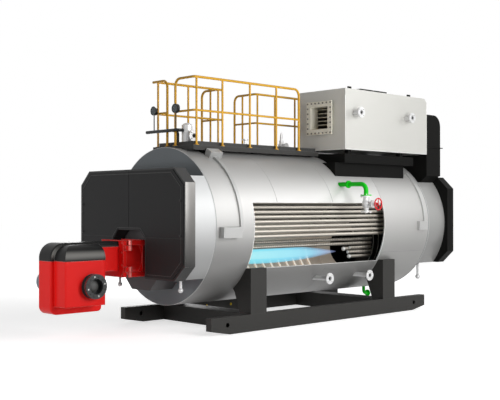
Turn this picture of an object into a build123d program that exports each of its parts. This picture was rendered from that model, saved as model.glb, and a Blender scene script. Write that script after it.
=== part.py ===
"""Horizontal three-pass fire-tube boiler with a top-mounted condenser and a hinged burner.

Millimetres, +Z up. The burner faces -Y, the cut-away window faces +X, and the origin lies
on the ground under the shell's axis, at the middle of the front cross beam. A setback is
measured along +Y from the shell's front face, and a gap is measured the other way.
"""
from build123d import *
from math import cos, radians, sin, sqrt
import os

# Shell
shell_radius = 1219.0
shell_wall = 20.0
shell_bottom_z = 372.0
shell_length = 5324.0
shell_front_overhang = 950.0
course_count = 4
course_bevel = 5.0
end_plate_thickness = 20.0
curved_seat_gap = 0.3
seat_bite = 10.0

# Cut-away window in the +X side of the shell
window_course_count = 3
window_front_setback = 797.0
window_drop = 646.0
window_rise = 366.0

# Smokeboxes and their covers
front_drum_length = 446.0
rear_drum_length = 499.0
drum_rise = 758.0
cover_depth = 196.0
cover_margin = 67.0
cover_drop = 757.0
cover_rise = 859.0
cover_corner_x = 227.0
cover_corner_z = 217.0
door_thickness = 12.0
door_seam = 8.0
door_inset = 26.0
door_split_drop = 149.0

# Furnace and the octagonal throat box in front of it
furnace_drop = 456.0
furnace_inner_radius = 500.0
furnace_wall = 20.0
furnace_corrugation = 18.0
furnace_ridge_pitch = 200.0
furnace_cut_x = 240.0
furnace_neck_radius = 355.0
furnace_neck_length = 160.0
throat_half_width = 383.0
throat_drop = 499.0
throat_rise = 410.0
throat_top_half_flat = 270.0
throat_bottom_half_flat = 220.0
throat_recess = 16.0

# Reversal chamber, smoke tubes and stays
chamber_front_reserve = 994.0
chamber_length = 640.0
chamber_radius = 690.0
chamber_drop = 291.0
chamber_wall = 20.0
tube_radius = 28.5
tube_pitch = 76.0
tube_column_pitch = 78.0
tube_rows = 8
tube_columns = 3
tube_wall_gap = 234.0
tube_lowest_drop = 166.0
spiral_outer_x = 620.0
spiral_rows = 4
spiral_lowest_drop = 50.0
spiral_columns = 2
spiral_stub_lengths = (644.0, 588.0)
stay_radius = 29.0
upper_stay = (558.0, 8.0, 685.0)
lower_stay = (600.0, -128.0, 581.0)

# Skid and saddles
rear_saddle_reserve = 1129.0
saddle_width = 339.0
skid_center_x = 37.0
skid_margin = 109.0
skid_beam_width = 118.0
skid_beam_height = 261.0
skid_front_overhang = 970.0
skid_length = 5288.0
skid_nose_length = 368.0
skid_nose_height = 67.5
skid_plate = 14.0
lifting_hole_radius = 36.0
lifting_hole_setback = 325.0
lifting_hole_z = 140.0
saddle_drop = 637.0
saddle_pad = 60.0
saddle_angle = 37.8
gusset_foot_width = 242.0

# Platform on top of the shell
deck_rise = 30.0
deck_thickness = 8.0
deck_center_x = 35.0
deck_half_width = 497.0
deck_front_setback = 165.0
deck_condenser_gap = 55.0
fascia_height = 68.0
fascia_plate = 8.0
toe_board_height = 62.0
walkway_inner_x = 0.0
walkway_length = 1900.0
landing_front_setback = 1518.0
landing_width = 932.0
landing_margin = 189.0
bearer_thickness = 12.0
bearer_count = 4
walkway_bearer_count = 3
bracket_inset = 60.0
bracket_foot_margin = 369.0

# Railings
rail_radius = 20.0
post_radius = 17.0
mid_rail_radius = 17.0
rail_height = 1063.0
mid_rail_height = 532.0
rail_inset = 27.0
rail_front_inset = 36.0
rail_bend = 110.0
rail_corner_bend = 45.0
rail_corner_return = 60.0
rail_overrun = 70.0
rail_foot_radius = 38.0
rail_foot_height = 10.0
near_rail_end_reserve = 468.0
near_post_shares = (0.0, 0.234, 0.495, 0.761)
far_post_shares = (0.0, 0.487, 1.0)
rear_post_shares = (0.198, 0.412, 0.659, 1.0)
first_post_inset = 44.0
landing_rail_inset = 20.0
front_right_bent_x = 54.0
front_left_bent_x = -145.0
rear_bent_x = -70.0
landing_front_bent_inset = 176.0
landing_front_post_reach = 170.0
landing_rear_bent_inset = 50.0
landing_rear_post_reach = 310.0

# Access ladder
ladder_slope_reach = 760.0
ladder_width = 560.0
ladder_tread_pitch = 258.0
ladder_tread_depth = 110.0
ladder_tread_thickness = 8.0
ladder_stile_depth = 90.0
ladder_stile_thickness = 12.0

# Steam vessel, gauge header and valves on the platform
vessel_x = 160.0
vessel_setback = 350.0
vessel_radius = 86.0
vessel_height = 325.0
vessel_dome_height = 38.0
vessel_foot_margin = 13.0
vessel_nozzle_rise = 153.0
vessel_nozzle_reach = 167.0
header_setback = 147.0
header_rise = 242.0
header_radius = 26.0
header_far_x = -600.0
header_bend = 60.0
branch_x = 5.0
branch_setback = 290.0
branch_radius = 24.0
gauge_riser_length = 262.0
gauge_riser_radius = 9.0
gauge_half_depth = 24.0
gauge_places = ((-412.0, 62.0), (130.0, 72.0))

# Valves on the platform; each round layer has its radius and its height
safety_valve_reserve = 375.0
safety_foot = (80.0, 14.0)
safety_neck = (38.0, 40.0)
safety_body = (58.0, 90.0)
safety_bonnet = (40.0, 60.0)
safety_cap = (24.0, 110.0)
safety_stem = (14.0, 30.0)
safety_outlet_rise = 100.0
safety_outlet_radius = 34.0
safety_outlet_reach = 130.0
safety_outlet_flange = (60.0, 15.0)
vent_valve_spacing = 880.0
vent_foot = (60.0, 12.0)
vent_neck = (26.0, 60.0)
vent_body = (40.0, 40.0)
vent_stem = (14.0, 60.0)
vent_wheel = (62.0, 14.0)

# Condenser
condenser_far_x = 27.0
condenser_margin = 122.0
condenser_overhang = 96.0
condenser_length = 2360.0
condenser_rise = 28.0
condenser_height = 1042.0
condenser_wall = 12.0
condenser_chamfer = 70.0
outlet_flange_size = 575.0
outlet_opening = 404.0
outlet_center_rise = 557.0
outlet_depth = 72.0
outlet_flange_plate = 18.0
outlet_sleeve_depth = 190.0
fin_count = 6
fin_thickness = 8.0
fin_length = 700.0
hatch_height = 34.0
hatch_half_width = 200.0
hatch_edge_gap = 60.0
hatch_offsets = ((484.0, 830.0), (860.0, 1220.0))
lug_offsets = (170.0, 1870.0)
lug_inset = 90.0
lug_length = 90.0
lug_height = 50.0
lug_thickness = 20.0
water_nozzle_offsets = (246.0, 1704.0)
water_nozzle_rise = 632.0
water_nozzle_reach = 155.0
support_gap = 63.0
support_tray_height = 155.0
support_tray_insets = (33.0, 97.0)
support_tray_ends = (100.0, 292.0)
support_box_insets = (223.0, 197.0)
support_box_ends = (-40.0, 460.0)
support_box_depth = 430.0
support_leg = 80.0
support_leg_ends = (190.0, 700.0)
duct_depth = 445.0
duct_top_drop = 290.0
duct_bend_radius = 210.0
duct_hood_height = 120.0
duct_hood_insets = (83.0, 142.0)
duct_joint_rise = 132.0
duct_joint_plate = 14.0
duct_joint_margin = (20.0, 60.0)

# Flanged nozzles
flange_radius = 92.5
flange_thickness = 18.0
flange_bolt_circle = 145.0
flange_bolt_radius = 9.0
flange_bolt_count = 4
nozzle_radius = 38.0
nozzle_bore = 32.0

# Feed pipe, its valve and handwheel
feed_reserve = 2310.0
feed_rise = 677.0
feed_reach = 361.0
feed_bend = 110.0
feed_root_share = 0.75
feed_coupling_radius = 63.0
feed_coupling_length = 28.0
feed_coupling_inset = 16.0
valve_drop = 195.0
valve_height = 274.0
valve_body_radius = 72.0
bonnet_radius = 40.0
bonnet_length = 150.0
bonnet_flange_radius = 62.0
bonnet_flange_thickness = 30.0
gland_radius = 30.0
gland_length = 45.0
gland_bore_depth = 35.0
stem_radius = 11.0
stem_end_clearance = 5.0
wheel_reach = 252.0
wheel_rim_radius = 92.0
wheel_tube_radius = 11.0
wheel_hub_radius = 22.0
wheel_hub_length = 40.0
wheel_spoke_radius = 7.0
wheel_spoke_count = 5

# Nozzles, blow-down and drains under the boiler; a drain has its length, its radius and its cap's
lower_nozzle_setbacks = (2575.0, 3625.0)
lower_nozzle_rise = 334.0
lower_nozzle_face_margin = 44.0
lower_nozzle_root_margin = 519.0
blowdown_reserve = 414.0
blowdown_drop = 142.0
blowdown_reach = 125.0
blowdown_radius = 30.0
blowdown_bend = 70.0
blowdown_flange_radius = 62.0
drain_x = 750.0
drain_front_gap = 270.0
drain_rear_gap = 295.0
front_drain = (169.0, 22.0, 38.0)
rear_drain = (280.0, 26.0, 48.0)

# Junction boxes and wireways on the shell
wireway_width = 60.0
wireway_height = 32.0
wireway_low_angle = -3.0
front_wireway_setback = 475.0
front_wireway_angle = 60.0
rear_wireway_reserve = 194.0
rear_wireway_angle = 48.0
box_bite = 20.0
low_box = (-3.3, 78.0, 447.0, 158.0, 98.0)
high_box = (62.0, 400.0, 637.0, 130.0, 105.0)
rear_box_reserves = (378.0, 134.0)
rear_box_section = (-2.0, 155.0, 60.0)

# Burner throat and hinge
throat_tube_end_gap = 885.0
throat_tube_radius = 250.0
throat_bore_radius = 200.0
throat_plate_gap = 600.0
throat_plate_thickness = 20.0
burner_flange_half = 270.0
burner_flange_thickness = 65.0
flange_gap = 5.0
hinge_offset_x = 34.0
hinge_axis_gap = 856.0
hinge_barrel_radius = 26.0
hinge_pin_radius = 8.0
hinge_knuckle = 74.0
hinge_gap = 5.0
hinge_leaf_half = 12.0
hinge_leaf_bite = 20.0
pin_clearance = 0.3

# Burner housings, with heights from the burner's axis
housing_half_width = 163.0
housing_front_gap = 2092.0
housing_rear_gap = 1250.0
housing_step_gap = 1500.0
housing_drop = 739.0
housing_rise = 255.0
housing_split_rise = 5.0
housing_crown_radius = 210.0
housing_toe_radius = 110.0
housing_heel_radius = 60.0
housing_edge_radius = 22.0
arm_drop = 178.0
arm_split_rise = 177.0
arm_root_radius = 90.0
volute_face_x = 440.0
volute_front_gap = 2037.0
volute_rear_gap = 1379.0
volute_drop = 619.0
volute_rise = 227.0
volute_split_rise = 10.0
volute_crown_radius = 205.0
volute_edge_radius = 14.0
fan_axis_gap = 1605.0
fan_axis_drop = 345.0
inlet_radius = 173.0
inlet_bore_radius = 108.0
inlet_length = 112.0
inlet_floor = 20.0
inlet_neck_radius = 158.0
inlet_rim_thickness = 34.0
motor_radius = 160.0
motor_length = 620.0
motor_edge_radius = 24.0

# Places worked out from the dimensions
shell_axis_z = shell_bottom_z + shell_radius
shell_top_z = shell_axis_z + shell_radius
shell_inner_radius = shell_radius - shell_wall
shell_front_y = -shell_front_overhang
shell_rear_y = shell_front_y + shell_length
course_pitch = (shell_length - 2 * end_plate_thickness) / course_count
front_cover_y = shell_front_y - front_drum_length
rear_cover_y = shell_rear_y + rear_drum_length
drum_top_z = shell_axis_z + drum_rise
cover_half_width = shell_radius + cover_margin
cover_bottom_z = shell_axis_z - cover_drop
cover_top_z = shell_axis_z + cover_rise
furnace_axis_z = shell_axis_z - furnace_drop
skid_half_width = shell_radius - skid_margin
deck_z = shell_top_z + deck_rise
condenser_x = (condenser_far_x, shell_radius - condenser_margin)
condenser_y = (shell_rear_y + condenser_overhang - condenser_length, shell_rear_y + condenser_overhang)
condenser_z = (deck_z + condenser_rise, deck_z + condenser_rise + condenser_height)


def along(setback):
    """Y of a point that lies this far behind the shell's front face."""
    return shell_front_y + setback


def facing(y):
    """Plane of a cross section at y: its own x is X, its own y is Z, and it looks along -Y."""
    return Plane.XZ.offset(-y)


def block(x, y, z, mode=Mode.ADD):
    """Box between two corners, given as one pair of limits for each axis."""
    with Locations(((x[0] + x[1]) / 2, (y[0] + y[1]) / 2, (z[0] + z[1]) / 2)):
        Box(x[1] - x[0], y[1] - y[0], z[1] - z[0], mode=mode)


def rod(start, end, radius, mode=Mode.ADD):
    """Round bar from one point to another."""
    run = Vector(*end) - Vector(*start)
    with BuildSketch(Plane(origin=start, z_dir=run)) as profile:
        Circle(radius)
    extrude(profile.sketch, amount=run.length, mode=mode)


def prism(outline, y_start, y_end, mode=Mode.ADD):
    """Straight prism along Y on an outline of (X, Z) points."""
    with BuildSketch(facing(y_start)) as profile:
        with BuildLine():
            Polyline(*outline, close=True)
        make_face()
    extrude(profile.sketch, amount=y_start - y_end, mode=mode)


def side_prism(outline, x_start, x_end, mode=Mode.ADD):
    """Straight prism along X on an outline of (Y, Z) points."""
    with BuildSketch(Plane.YZ.offset(x_start)) as profile:
        with BuildLine():
            Polyline(*outline, close=True)
        make_face()
    extrude(profile.sketch, amount=x_end - x_start, mode=mode)


def rounded_side(outline, radii, x_start, x_end, mode=Mode.ADD):
    """Prism along X on an outline of (Y, Z) points whose corners are rounded one by one."""
    with BuildSketch(Plane.YZ.offset(x_start)) as profile:
        with BuildLine():
            FilletPolyline(*outline, radius=radii, close=True)
        make_face()
    extrude(profile.sketch, amount=x_end - x_start, mode=mode)


def cut_shell_seat(y_start, y_end):
    """Take away the room of the shell, so that a piece seats on its curve."""
    rod((0, y_start, shell_axis_z), (0, y_end, shell_axis_z), shell_radius + curved_seat_gap,
        Mode.SUBTRACT)


def shell_height(x):
    """Z of the shell's upper surface at a distance x from its axis."""
    return shell_axis_z + sqrt(shell_radius ** 2 - x ** 2)


def pipe_run(points, bends, radius):
    """Round bar along straight runs joined by arcs."""
    with BuildLine() as path:
        if bends:
            FilletPolyline(*points, radius=bends)
        else:
            Line(*points)
    with BuildSketch(Plane(origin=path.line @ 0, z_dir=path.line % 0)) as profile:
        Circle(radius)
    sweep(profile.sketch, path=path.line)


def flange(center, direction):
    """Flange disc whose free face is at center, looking along direction, with its bolt holes."""
    face = Plane(origin=center, z_dir=direction)
    with BuildSketch(face) as disc:
        Circle(flange_radius)
        with PolarLocations(flange_bolt_circle / 2, flange_bolt_count, start_angle=45):
            Circle(flange_bolt_radius, mode=Mode.SUBTRACT)
    extrude(disc.sketch, amount=-flange_thickness)


def side_nozzle(root_x, face_x, y, z):
    """Nozzle along +X with a bolted flange and a bore from its face."""
    rod((root_x, y, z), (face_x - flange_thickness, y, z), nozzle_radius)
    flange((face_x, y, z), (1, 0, 0))
    rod((root_x, y, z), (face_x, y, z), nozzle_bore, Mode.SUBTRACT)


def shell_course(index):
    """One clad ring of the shell, with bevelled edges and its share of the window."""
    y_start = along(end_plate_thickness + index * course_pitch)
    y_end = y_start + course_pitch
    with BuildPart() as course:
        with BuildSketch(Plane.YZ) as section:
            with BuildLine():
                Polyline((y_start, shell_axis_z + shell_inner_radius),
                         (y_end, shell_axis_z + shell_inner_radius),
                         (y_end, shell_axis_z + shell_radius - course_bevel),
                         (y_end - course_bevel, shell_axis_z + shell_radius),
                         (y_start + course_bevel, shell_axis_z + shell_radius),
                         (y_start, shell_axis_z + shell_radius - course_bevel), close=True)
            make_face()
        revolve(section.sketch, axis=Axis((0, 0, shell_axis_z), (0, 1, 0)))
        if index < window_course_count:
            block((0, shell_radius + seat_bite),
                  (max(along(window_front_setback), y_start - seat_bite), y_end + seat_bite),
                  (shell_axis_z - window_drop, shell_axis_z + window_rise), Mode.SUBTRACT)
    return course.part


def end_plate(y_start):
    """Flat end of the pressure shell."""
    with BuildPart() as plate:
        rod((0, y_start, shell_axis_z), (0, y_start + end_plate_thickness, shell_axis_z), shell_radius)
    return plate.part


def throat_outline(clearance=0.0):
    """Octagon of the burner throat, as (X, Z) points from the lower left round."""
    wide = throat_half_width + clearance
    top = throat_top_half_flat
    low = throat_bottom_half_flat
    bottom_z = furnace_axis_z - throat_drop
    top_z = furnace_axis_z + throat_rise
    shoulder = top_z - (throat_half_width - top)
    haunch = bottom_z + (throat_half_width - low)
    return [(-low, bottom_z - clearance), (low, bottom_z - clearance), (wide, haunch),
            (wide, shoulder), (top, top_z + clearance), (-top, top_z + clearance),
            (-wide, shoulder), (-wide, haunch)]


def smokebox(y_start, y_end):
    """Round drum with a flat floor and a flat roof, from the shell's end to the cover."""
    with BuildPart() as drum:
        with BuildSketch(facing(y_start)):
            with Locations((0, shell_axis_z)):
                Circle(shell_radius)
            with Locations((0, (cover_bottom_z + drum_top_z) / 2)):
                Rectangle(2 * shell_radius, drum_top_z - cover_bottom_z, mode=Mode.INTERSECT)
            offset(amount=-end_plate_thickness, mode=Mode.SUBTRACT)
        extrude(amount=y_start - y_end)
    return drum.part


def cover_outline(inset=0.0):
    """Eight-sided outline of a smokebox cover, as (X, Z) points."""
    wide = cover_half_width - inset
    low = cover_bottom_z + inset
    high = cover_top_z - inset
    return [(-wide + cover_corner_x, low), (wide - cover_corner_x, low),
            (wide, low + cover_corner_z), (wide, high - cover_corner_z),
            (wide - cover_corner_x, high), (-wide + cover_corner_x, high),
            (-wide, high - cover_corner_z), (-wide, low + cover_corner_z)]


# Shell
os.makedirs("parts", exist_ok=True)
for number in range(course_count):
    course_ring = shell_course(number)
    course_ring.label = f"shell_course_{number + 1}"
    export_step(course_ring, f"parts/shell_course_{number + 1}.step")

front_end_plate = end_plate(shell_front_y)
front_end_plate.label = "front_end_plate"
export_step(front_end_plate, "parts/front_end_plate.step")

rear_end_plate = end_plate(shell_rear_y - end_plate_thickness)
rear_end_plate.label = "rear_end_plate"
export_step(rear_end_plate, "parts/rear_end_plate.step")

# Smokeboxes and covers
with BuildPart() as front_smokebox:
    add(smokebox(front_cover_y, shell_front_y))
    prism(throat_outline(), front_cover_y, shell_front_y, Mode.SUBTRACT)
front_smokebox.part.label = "front_smokebox"
export_step(front_smokebox.part, "parts/front_smokebox.step")

rear_smokebox = smokebox(shell_rear_y, rear_cover_y)
rear_smokebox.label = "rear_smokebox"
export_step(rear_smokebox, "parts/rear_smokebox.step")

with BuildPart() as front_cover:
    prism(cover_outline(), front_cover_y - cover_depth, front_cover_y)
    prism(throat_outline(), front_cover_y - cover_depth, front_cover_y, Mode.SUBTRACT)
front_cover.part.label = "front_cover"
export_step(front_cover.part, "parts/front_cover.step")

with BuildPart() as front_doors:
    door_y = (front_cover_y - cover_depth - door_thickness, front_cover_y - cover_depth)
    door_split_z = shell_axis_z - door_split_drop
    prism(cover_outline(door_inset), *door_y)
    prism(throat_outline(door_seam), *door_y, Mode.SUBTRACT)
    block((-door_seam / 2, door_seam / 2), door_y, (furnace_axis_z + throat_rise, cover_top_z),
          Mode.SUBTRACT)
    block((-cover_half_width, cover_half_width), door_y,
          (door_split_z - door_seam / 2, door_split_z + door_seam / 2), Mode.SUBTRACT)
front_doors.part.label = "front_doors"
export_step(front_doors.part, "parts/front_doors.step")

with BuildPart() as rear_cover:
    prism(cover_outline(), rear_cover_y, rear_cover_y + cover_depth)
rear_cover.part.label = "rear_cover"
export_step(rear_cover.part, "parts/rear_cover.step")

with BuildPart() as rear_doors:
    rear_door_y = (rear_cover_y + cover_depth, rear_cover_y + cover_depth + door_thickness)
    prism(cover_outline(door_inset), *rear_door_y)
    block((-door_seam / 2, door_seam / 2), rear_door_y, (cover_bottom_z, cover_top_z), Mode.SUBTRACT)
rear_doors.part.label = "rear_doors"
export_step(rear_doors.part, "parts/rear_doors.step")

with BuildPart() as throat_box:
    prism(throat_outline(), front_cover_y + throat_recess, shell_front_y)
    rod((0, front_cover_y, furnace_axis_z), (0, shell_front_y, furnace_axis_z), throat_bore_radius,
        Mode.SUBTRACT)
throat_box.part.label = "throat_box"
export_step(throat_box.part, "parts/throat_box.step")

# Skid
beam_outer_x = skid_center_x + skid_half_width
beam_inner_x = beam_outer_x - skid_beam_width
beam_y = (-skid_front_overhang, skid_length - skid_front_overhang)
rear_saddle_y = shell_rear_y - rear_saddle_reserve


def beam_outline(inset=0.0):
    """Side of a skid beam with its raised noses, as (Y, Z) points."""
    return [(beam_y[0] + inset, skid_nose_height + inset), (beam_y[0] + skid_nose_length, inset),
            (beam_y[1] - skid_nose_length, inset), (beam_y[1] - inset, skid_nose_height + inset),
            (beam_y[1] - inset, skid_beam_height - inset), (beam_y[0] + inset, skid_beam_height - inset)]


with BuildPart() as skid_beams:
    side_prism(beam_outline(), beam_inner_x, beam_outer_x)
    side_prism(beam_outline(skid_plate), beam_inner_x + skid_plate, beam_outer_x - skid_plate,
               Mode.SUBTRACT)
    for hole_y in (beam_y[0] + lifting_hole_setback, beam_y[1] - lifting_hole_setback):
        rod((beam_inner_x, hole_y, lifting_hole_z), (beam_outer_x, hole_y, lifting_hole_z),
            lifting_hole_radius, Mode.SUBTRACT)
    mirror(about=Plane.YZ.offset(skid_center_x))
skid_beams.part.label = "skid_beams"
export_step(skid_beams.part, "parts/skid_beams.step")

with BuildPart() as cross_beams:
    for cross_y in (0, rear_saddle_y):
        block((2 * skid_center_x - beam_inner_x, beam_inner_x),
              (cross_y - saddle_width / 2, cross_y + saddle_width / 2), (0, skid_beam_height))
cross_beams.part.label = "cross_beams"
export_step(cross_beams.part, "parts/cross_beams.step")


def under_shell(radius):
    """(X, Z) of the point at the saddle's inner edge, on a circle about the shell's axis."""
    turn = radians(saddle_angle)
    return radius * sin(turn), shell_axis_z - radius * cos(turn)


with BuildPart() as saddles:
    upright_top_z = shell_axis_z - saddle_drop
    edge_x, edge_z = under_shell(shell_radius + saddle_pad)
    seat_x, seat_z = under_shell(shell_radius - seat_bite)
    saddle_outline = [(beam_outer_x, skid_beam_height), (beam_outer_x - gusset_foot_width, skid_beam_height),
                      (edge_x, edge_z), (seat_x, seat_z), (seat_x, upright_top_z),
                      (beam_outer_x, upright_top_z)]
    for center_y in (0, rear_saddle_y):
        prism(saddle_outline, center_y - saddle_width / 2, center_y + saddle_width / 2)
    mirror(about=Plane.YZ.offset(skid_center_x))
    cut_shell_seat(shell_front_y, shell_rear_y)
saddles.part.label = "saddles"
export_step(saddles.part, "parts/saddles.step")

# Inside the window
tube_start_y = along(end_plate_thickness)
tube_end_y = shell_rear_y - end_plate_thickness
chamber_y = shell_rear_y - chamber_front_reserve
tube_outer_x = shell_radius - tube_wall_gap

with BuildPart() as smoke_tubes:
    for side in (-1, 1):
        for column in range(tube_columns):
            for row in range(tube_rows):
                tube_x = side * (tube_outer_x - column * tube_column_pitch)
                tube_z = shell_axis_z - tube_lowest_drop + row * tube_pitch
                rod((tube_x, tube_start_y, tube_z), (tube_x, tube_end_y, tube_z), tube_radius)
smoke_tubes.part.label = "smoke_tubes"
export_step(smoke_tubes.part, "parts/smoke_tubes.step")

with BuildPart() as spiral_tubes:
    spiral_lowest_z = furnace_axis_z - spiral_lowest_drop
    full_rows = range(len(spiral_stub_lengths), spiral_rows)
    for side in (-1, 1):
        for column in range(spiral_columns):
            for row in full_rows:
                tube_x = side * (spiral_outer_x - column * tube_column_pitch)
                tube_z = spiral_lowest_z + row * tube_pitch
                if column == 0 or row == full_rows[-1]:
                    rod((tube_x, tube_start_y, tube_z), (tube_x, chamber_y, tube_z), tube_radius)
    for row, stub_length in enumerate(spiral_stub_lengths):
        tube_z = spiral_lowest_z + row * tube_pitch
        rod((spiral_outer_x, chamber_y - stub_length, tube_z), (spiral_outer_x, chamber_y, tube_z),
            tube_radius)
spiral_tubes.part.label = "spiral_tubes"
export_step(spiral_tubes.part, "parts/spiral_tubes.step")

with BuildPart() as stay_bars:
    for stay_x, stay_rise, stay_length in (upper_stay, lower_stay):
        stay_z = furnace_axis_z + stay_rise
        rod((stay_x, chamber_y - stay_length, stay_z), (stay_x, chamber_y, stay_z), stay_radius)
stay_bars.part.label = "stay_bars"
export_step(stay_bars.part, "parts/stay_bars.step")


def furnace_profile(start_y, neck_y, end_y):
    """Half section of the corrugated furnace wall and its neck, as (Y, radius) points."""
    steps = int(2 * (neck_y - start_y) / furnace_ridge_pitch)
    pitch = (neck_y - start_y) / steps
    inner = [(start_y + step * pitch, furnace_inner_radius + furnace_corrugation * (step % 2))
             for step in range(steps + 1)]
    inner.append((end_y, furnace_neck_radius))
    outer = [(y, radius + furnace_wall) for y, radius in reversed(inner)]
    return inner + outer


with BuildPart() as furnace_tube:
    with BuildSketch(Plane.YZ) as section:
        with BuildLine():
            Polyline(*[(y, furnace_axis_z + radius) for y, radius in
                       furnace_profile(tube_start_y, chamber_y - furnace_neck_length, chamber_y)], close=True)
        make_face()
    revolve(section.sketch, axis=Axis((0, 0, furnace_axis_z), (0, 1, 0)))
    block((furnace_cut_x, shell_radius), (along(window_front_setback), chamber_y + seat_bite),
          (furnace_axis_z - shell_radius, furnace_axis_z + shell_radius), Mode.SUBTRACT)
furnace_tube.part.label = "furnace_tube"
export_step(furnace_tube.part, "parts/furnace_tube.step")

with BuildPart() as reversal_chamber:
    chamber_z = shell_axis_z - chamber_drop
    chamber_rear_y = chamber_y + chamber_length
    rod((0, chamber_y, chamber_z), (0, chamber_rear_y, chamber_z), chamber_radius)
    rod((0, chamber_y + chamber_wall, chamber_z), (0, chamber_rear_y - chamber_wall, chamber_z),
        chamber_radius - chamber_wall, Mode.SUBTRACT)
    rod((0, chamber_y, furnace_axis_z), (0, chamber_y + chamber_wall, furnace_axis_z),
        furnace_neck_radius, Mode.SUBTRACT)
    rod((0, chamber_rear_y, furnace_axis_z), (0, tube_end_y, furnace_axis_z), throat_bore_radius)
reversal_chamber.part.label = "reversal_chamber"
export_step(reversal_chamber.part, "parts/reversal_chamber.step")

# Platform
deck_near_x = deck_center_x + deck_half_width
deck_far_x = deck_center_x - deck_half_width
deck_front_y = along(deck_front_setback)
deck_rear_y = condenser_y[0] - deck_condenser_gap
walkway_rear_y = deck_rear_y + walkway_length
landing_y = (along(landing_front_setback), along(landing_front_setback + landing_width))
landing_far_x = landing_margin - shell_radius
deck_slab_z = (deck_z - deck_thickness, deck_z)
fascia_z = (deck_slab_z[0] - fascia_height, deck_slab_z[0])
toe_near_x = deck_near_x - rail_inset - rail_foot_radius - curved_seat_gap
toe_far_x = deck_far_x + rail_inset + rail_foot_radius + curved_seat_gap
toe_front_y = deck_front_y + rail_front_inset + rail_foot_radius + curved_seat_gap
toe_z = (deck_z, deck_z + toe_board_height)

with BuildPart() as platform_deck:
    block((deck_far_x, deck_near_x), (deck_front_y, deck_rear_y), deck_slab_z)
    block((deck_far_x, walkway_inner_x), (deck_rear_y, walkway_rear_y), deck_slab_z)
    block((toe_near_x - fascia_plate, toe_near_x), (toe_front_y, deck_rear_y), toe_z)
    block((toe_far_x, toe_near_x), (toe_front_y, toe_front_y + fascia_plate), toe_z)
    block((toe_far_x, toe_far_x + fascia_plate), (toe_front_y, landing_y[0]), toe_z)
    block((toe_far_x, toe_far_x + fascia_plate), (landing_y[1], walkway_rear_y), toe_z)
platform_deck.part.label = "platform_deck"
export_step(platform_deck.part, "parts/platform_deck.step")


def bearer(x, y):
    """Cross bearer under the deck, centred on y."""
    block(x, (y - bearer_thickness / 2, y + bearer_thickness / 2), fascia_z)


with BuildPart() as platform_frame:
    block((deck_near_x - fascia_plate, deck_near_x), (deck_front_y, deck_rear_y), fascia_z)
    block((deck_far_x, deck_far_x + fascia_plate), (deck_front_y, walkway_rear_y), fascia_z)
    block((deck_far_x, deck_near_x), (deck_front_y, deck_front_y + fascia_plate), fascia_z)
    block((deck_far_x, walkway_inner_x), (walkway_rear_y - fascia_plate, walkway_rear_y), fascia_z)
    bearer_pitch = (deck_rear_y - deck_front_y - bearer_thickness) / bearer_count
    for number in range(1, bearer_count + 1):
        bearer((deck_far_x, deck_near_x), deck_front_y + bearer_thickness / 2 + number * bearer_pitch)
    for number in range(1, walkway_bearer_count):
        bearer((deck_far_x, walkway_inner_x), deck_rear_y + number * walkway_length / walkway_bearer_count)
    cut_shell_seat(shell_front_y, shell_rear_y)
platform_frame.part.label = "platform_frame"
export_step(platform_frame.part, "parts/platform_frame.step")

with BuildPart() as side_landing:
    bracket_foot_x = shell_radius - bracket_foot_margin
    bracket_outline = [(landing_far_x + fascia_plate, fascia_z[1]),
                       (landing_far_x + fascia_plate, fascia_z[0]),
                       (-bracket_foot_x, shell_height(bracket_foot_x) - seat_bite),
                       (deck_far_x, shell_height(deck_far_x) - seat_bite), (deck_far_x, fascia_z[1])]
    block((landing_far_x, deck_far_x), landing_y, deck_slab_z)
    for edge_y in (landing_y[0], landing_y[1] - fascia_plate):
        block((landing_far_x, deck_far_x), (edge_y, edge_y + fascia_plate), fascia_z)
    block((landing_far_x, landing_far_x + fascia_plate), landing_y, fascia_z)
    for web_y in (landing_y[0] + bracket_inset, landing_y[1] - bracket_inset - bearer_thickness):
        prism(bracket_outline, web_y, web_y + bearer_thickness)
    cut_shell_seat(shell_front_y, shell_rear_y)
side_landing.part.label = "side_landing"
export_step(side_landing.part, "parts/side_landing.step")

with BuildPart() as access_ladder:
    ladder_foot_x = landing_far_x - ladder_slope_reach
    ladder_y = (landing_y[0] + landing_y[1]) / 2
    stile_outline = [(ladder_foot_x, 0), (ladder_foot_x + ladder_stile_depth, 0), (landing_far_x, deck_z),
                     (landing_far_x - ladder_stile_depth, deck_z)]
    prism(stile_outline, ladder_y - ladder_width / 2, ladder_y - ladder_width / 2 + ladder_stile_thickness)
    prism(stile_outline, ladder_y + ladder_width / 2 - ladder_stile_thickness, ladder_y + ladder_width / 2)
    tread_count = int(deck_z / ladder_tread_pitch)
    for number in range(1, tread_count):
        tread_z = number * deck_z / tread_count
        tread_x = ladder_foot_x + ladder_slope_reach * tread_z / deck_z - ladder_stile_depth / 2
        block((tread_x - seat_bite, tread_x + ladder_tread_depth - seat_bite),
              (ladder_y - ladder_width / 2 + ladder_stile_thickness,
               ladder_y + ladder_width / 2 - ladder_stile_thickness),
              (tread_z - ladder_tread_thickness, tread_z))
access_ladder.part.label = "access_ladder"
export_step(access_ladder.part, "parts/access_ladder.step")

# Railings
rail_top_z = deck_z + rail_height - rail_radius
rail_mid_z = deck_z + mid_rail_height
rail_near_x = deck_near_x - rail_inset
rail_far_x = deck_far_x + rail_inset
rail_front_y = deck_front_y + rail_front_inset
rail_rear_y = walkway_rear_y - landing_rail_inset
near_rail_end_y = deck_rear_y - near_rail_end_reserve
landing_rail_y = (landing_y[0] + landing_rail_inset, landing_y[1] - landing_rail_inset)
butt_gap = rail_radius + curved_seat_gap


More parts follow.
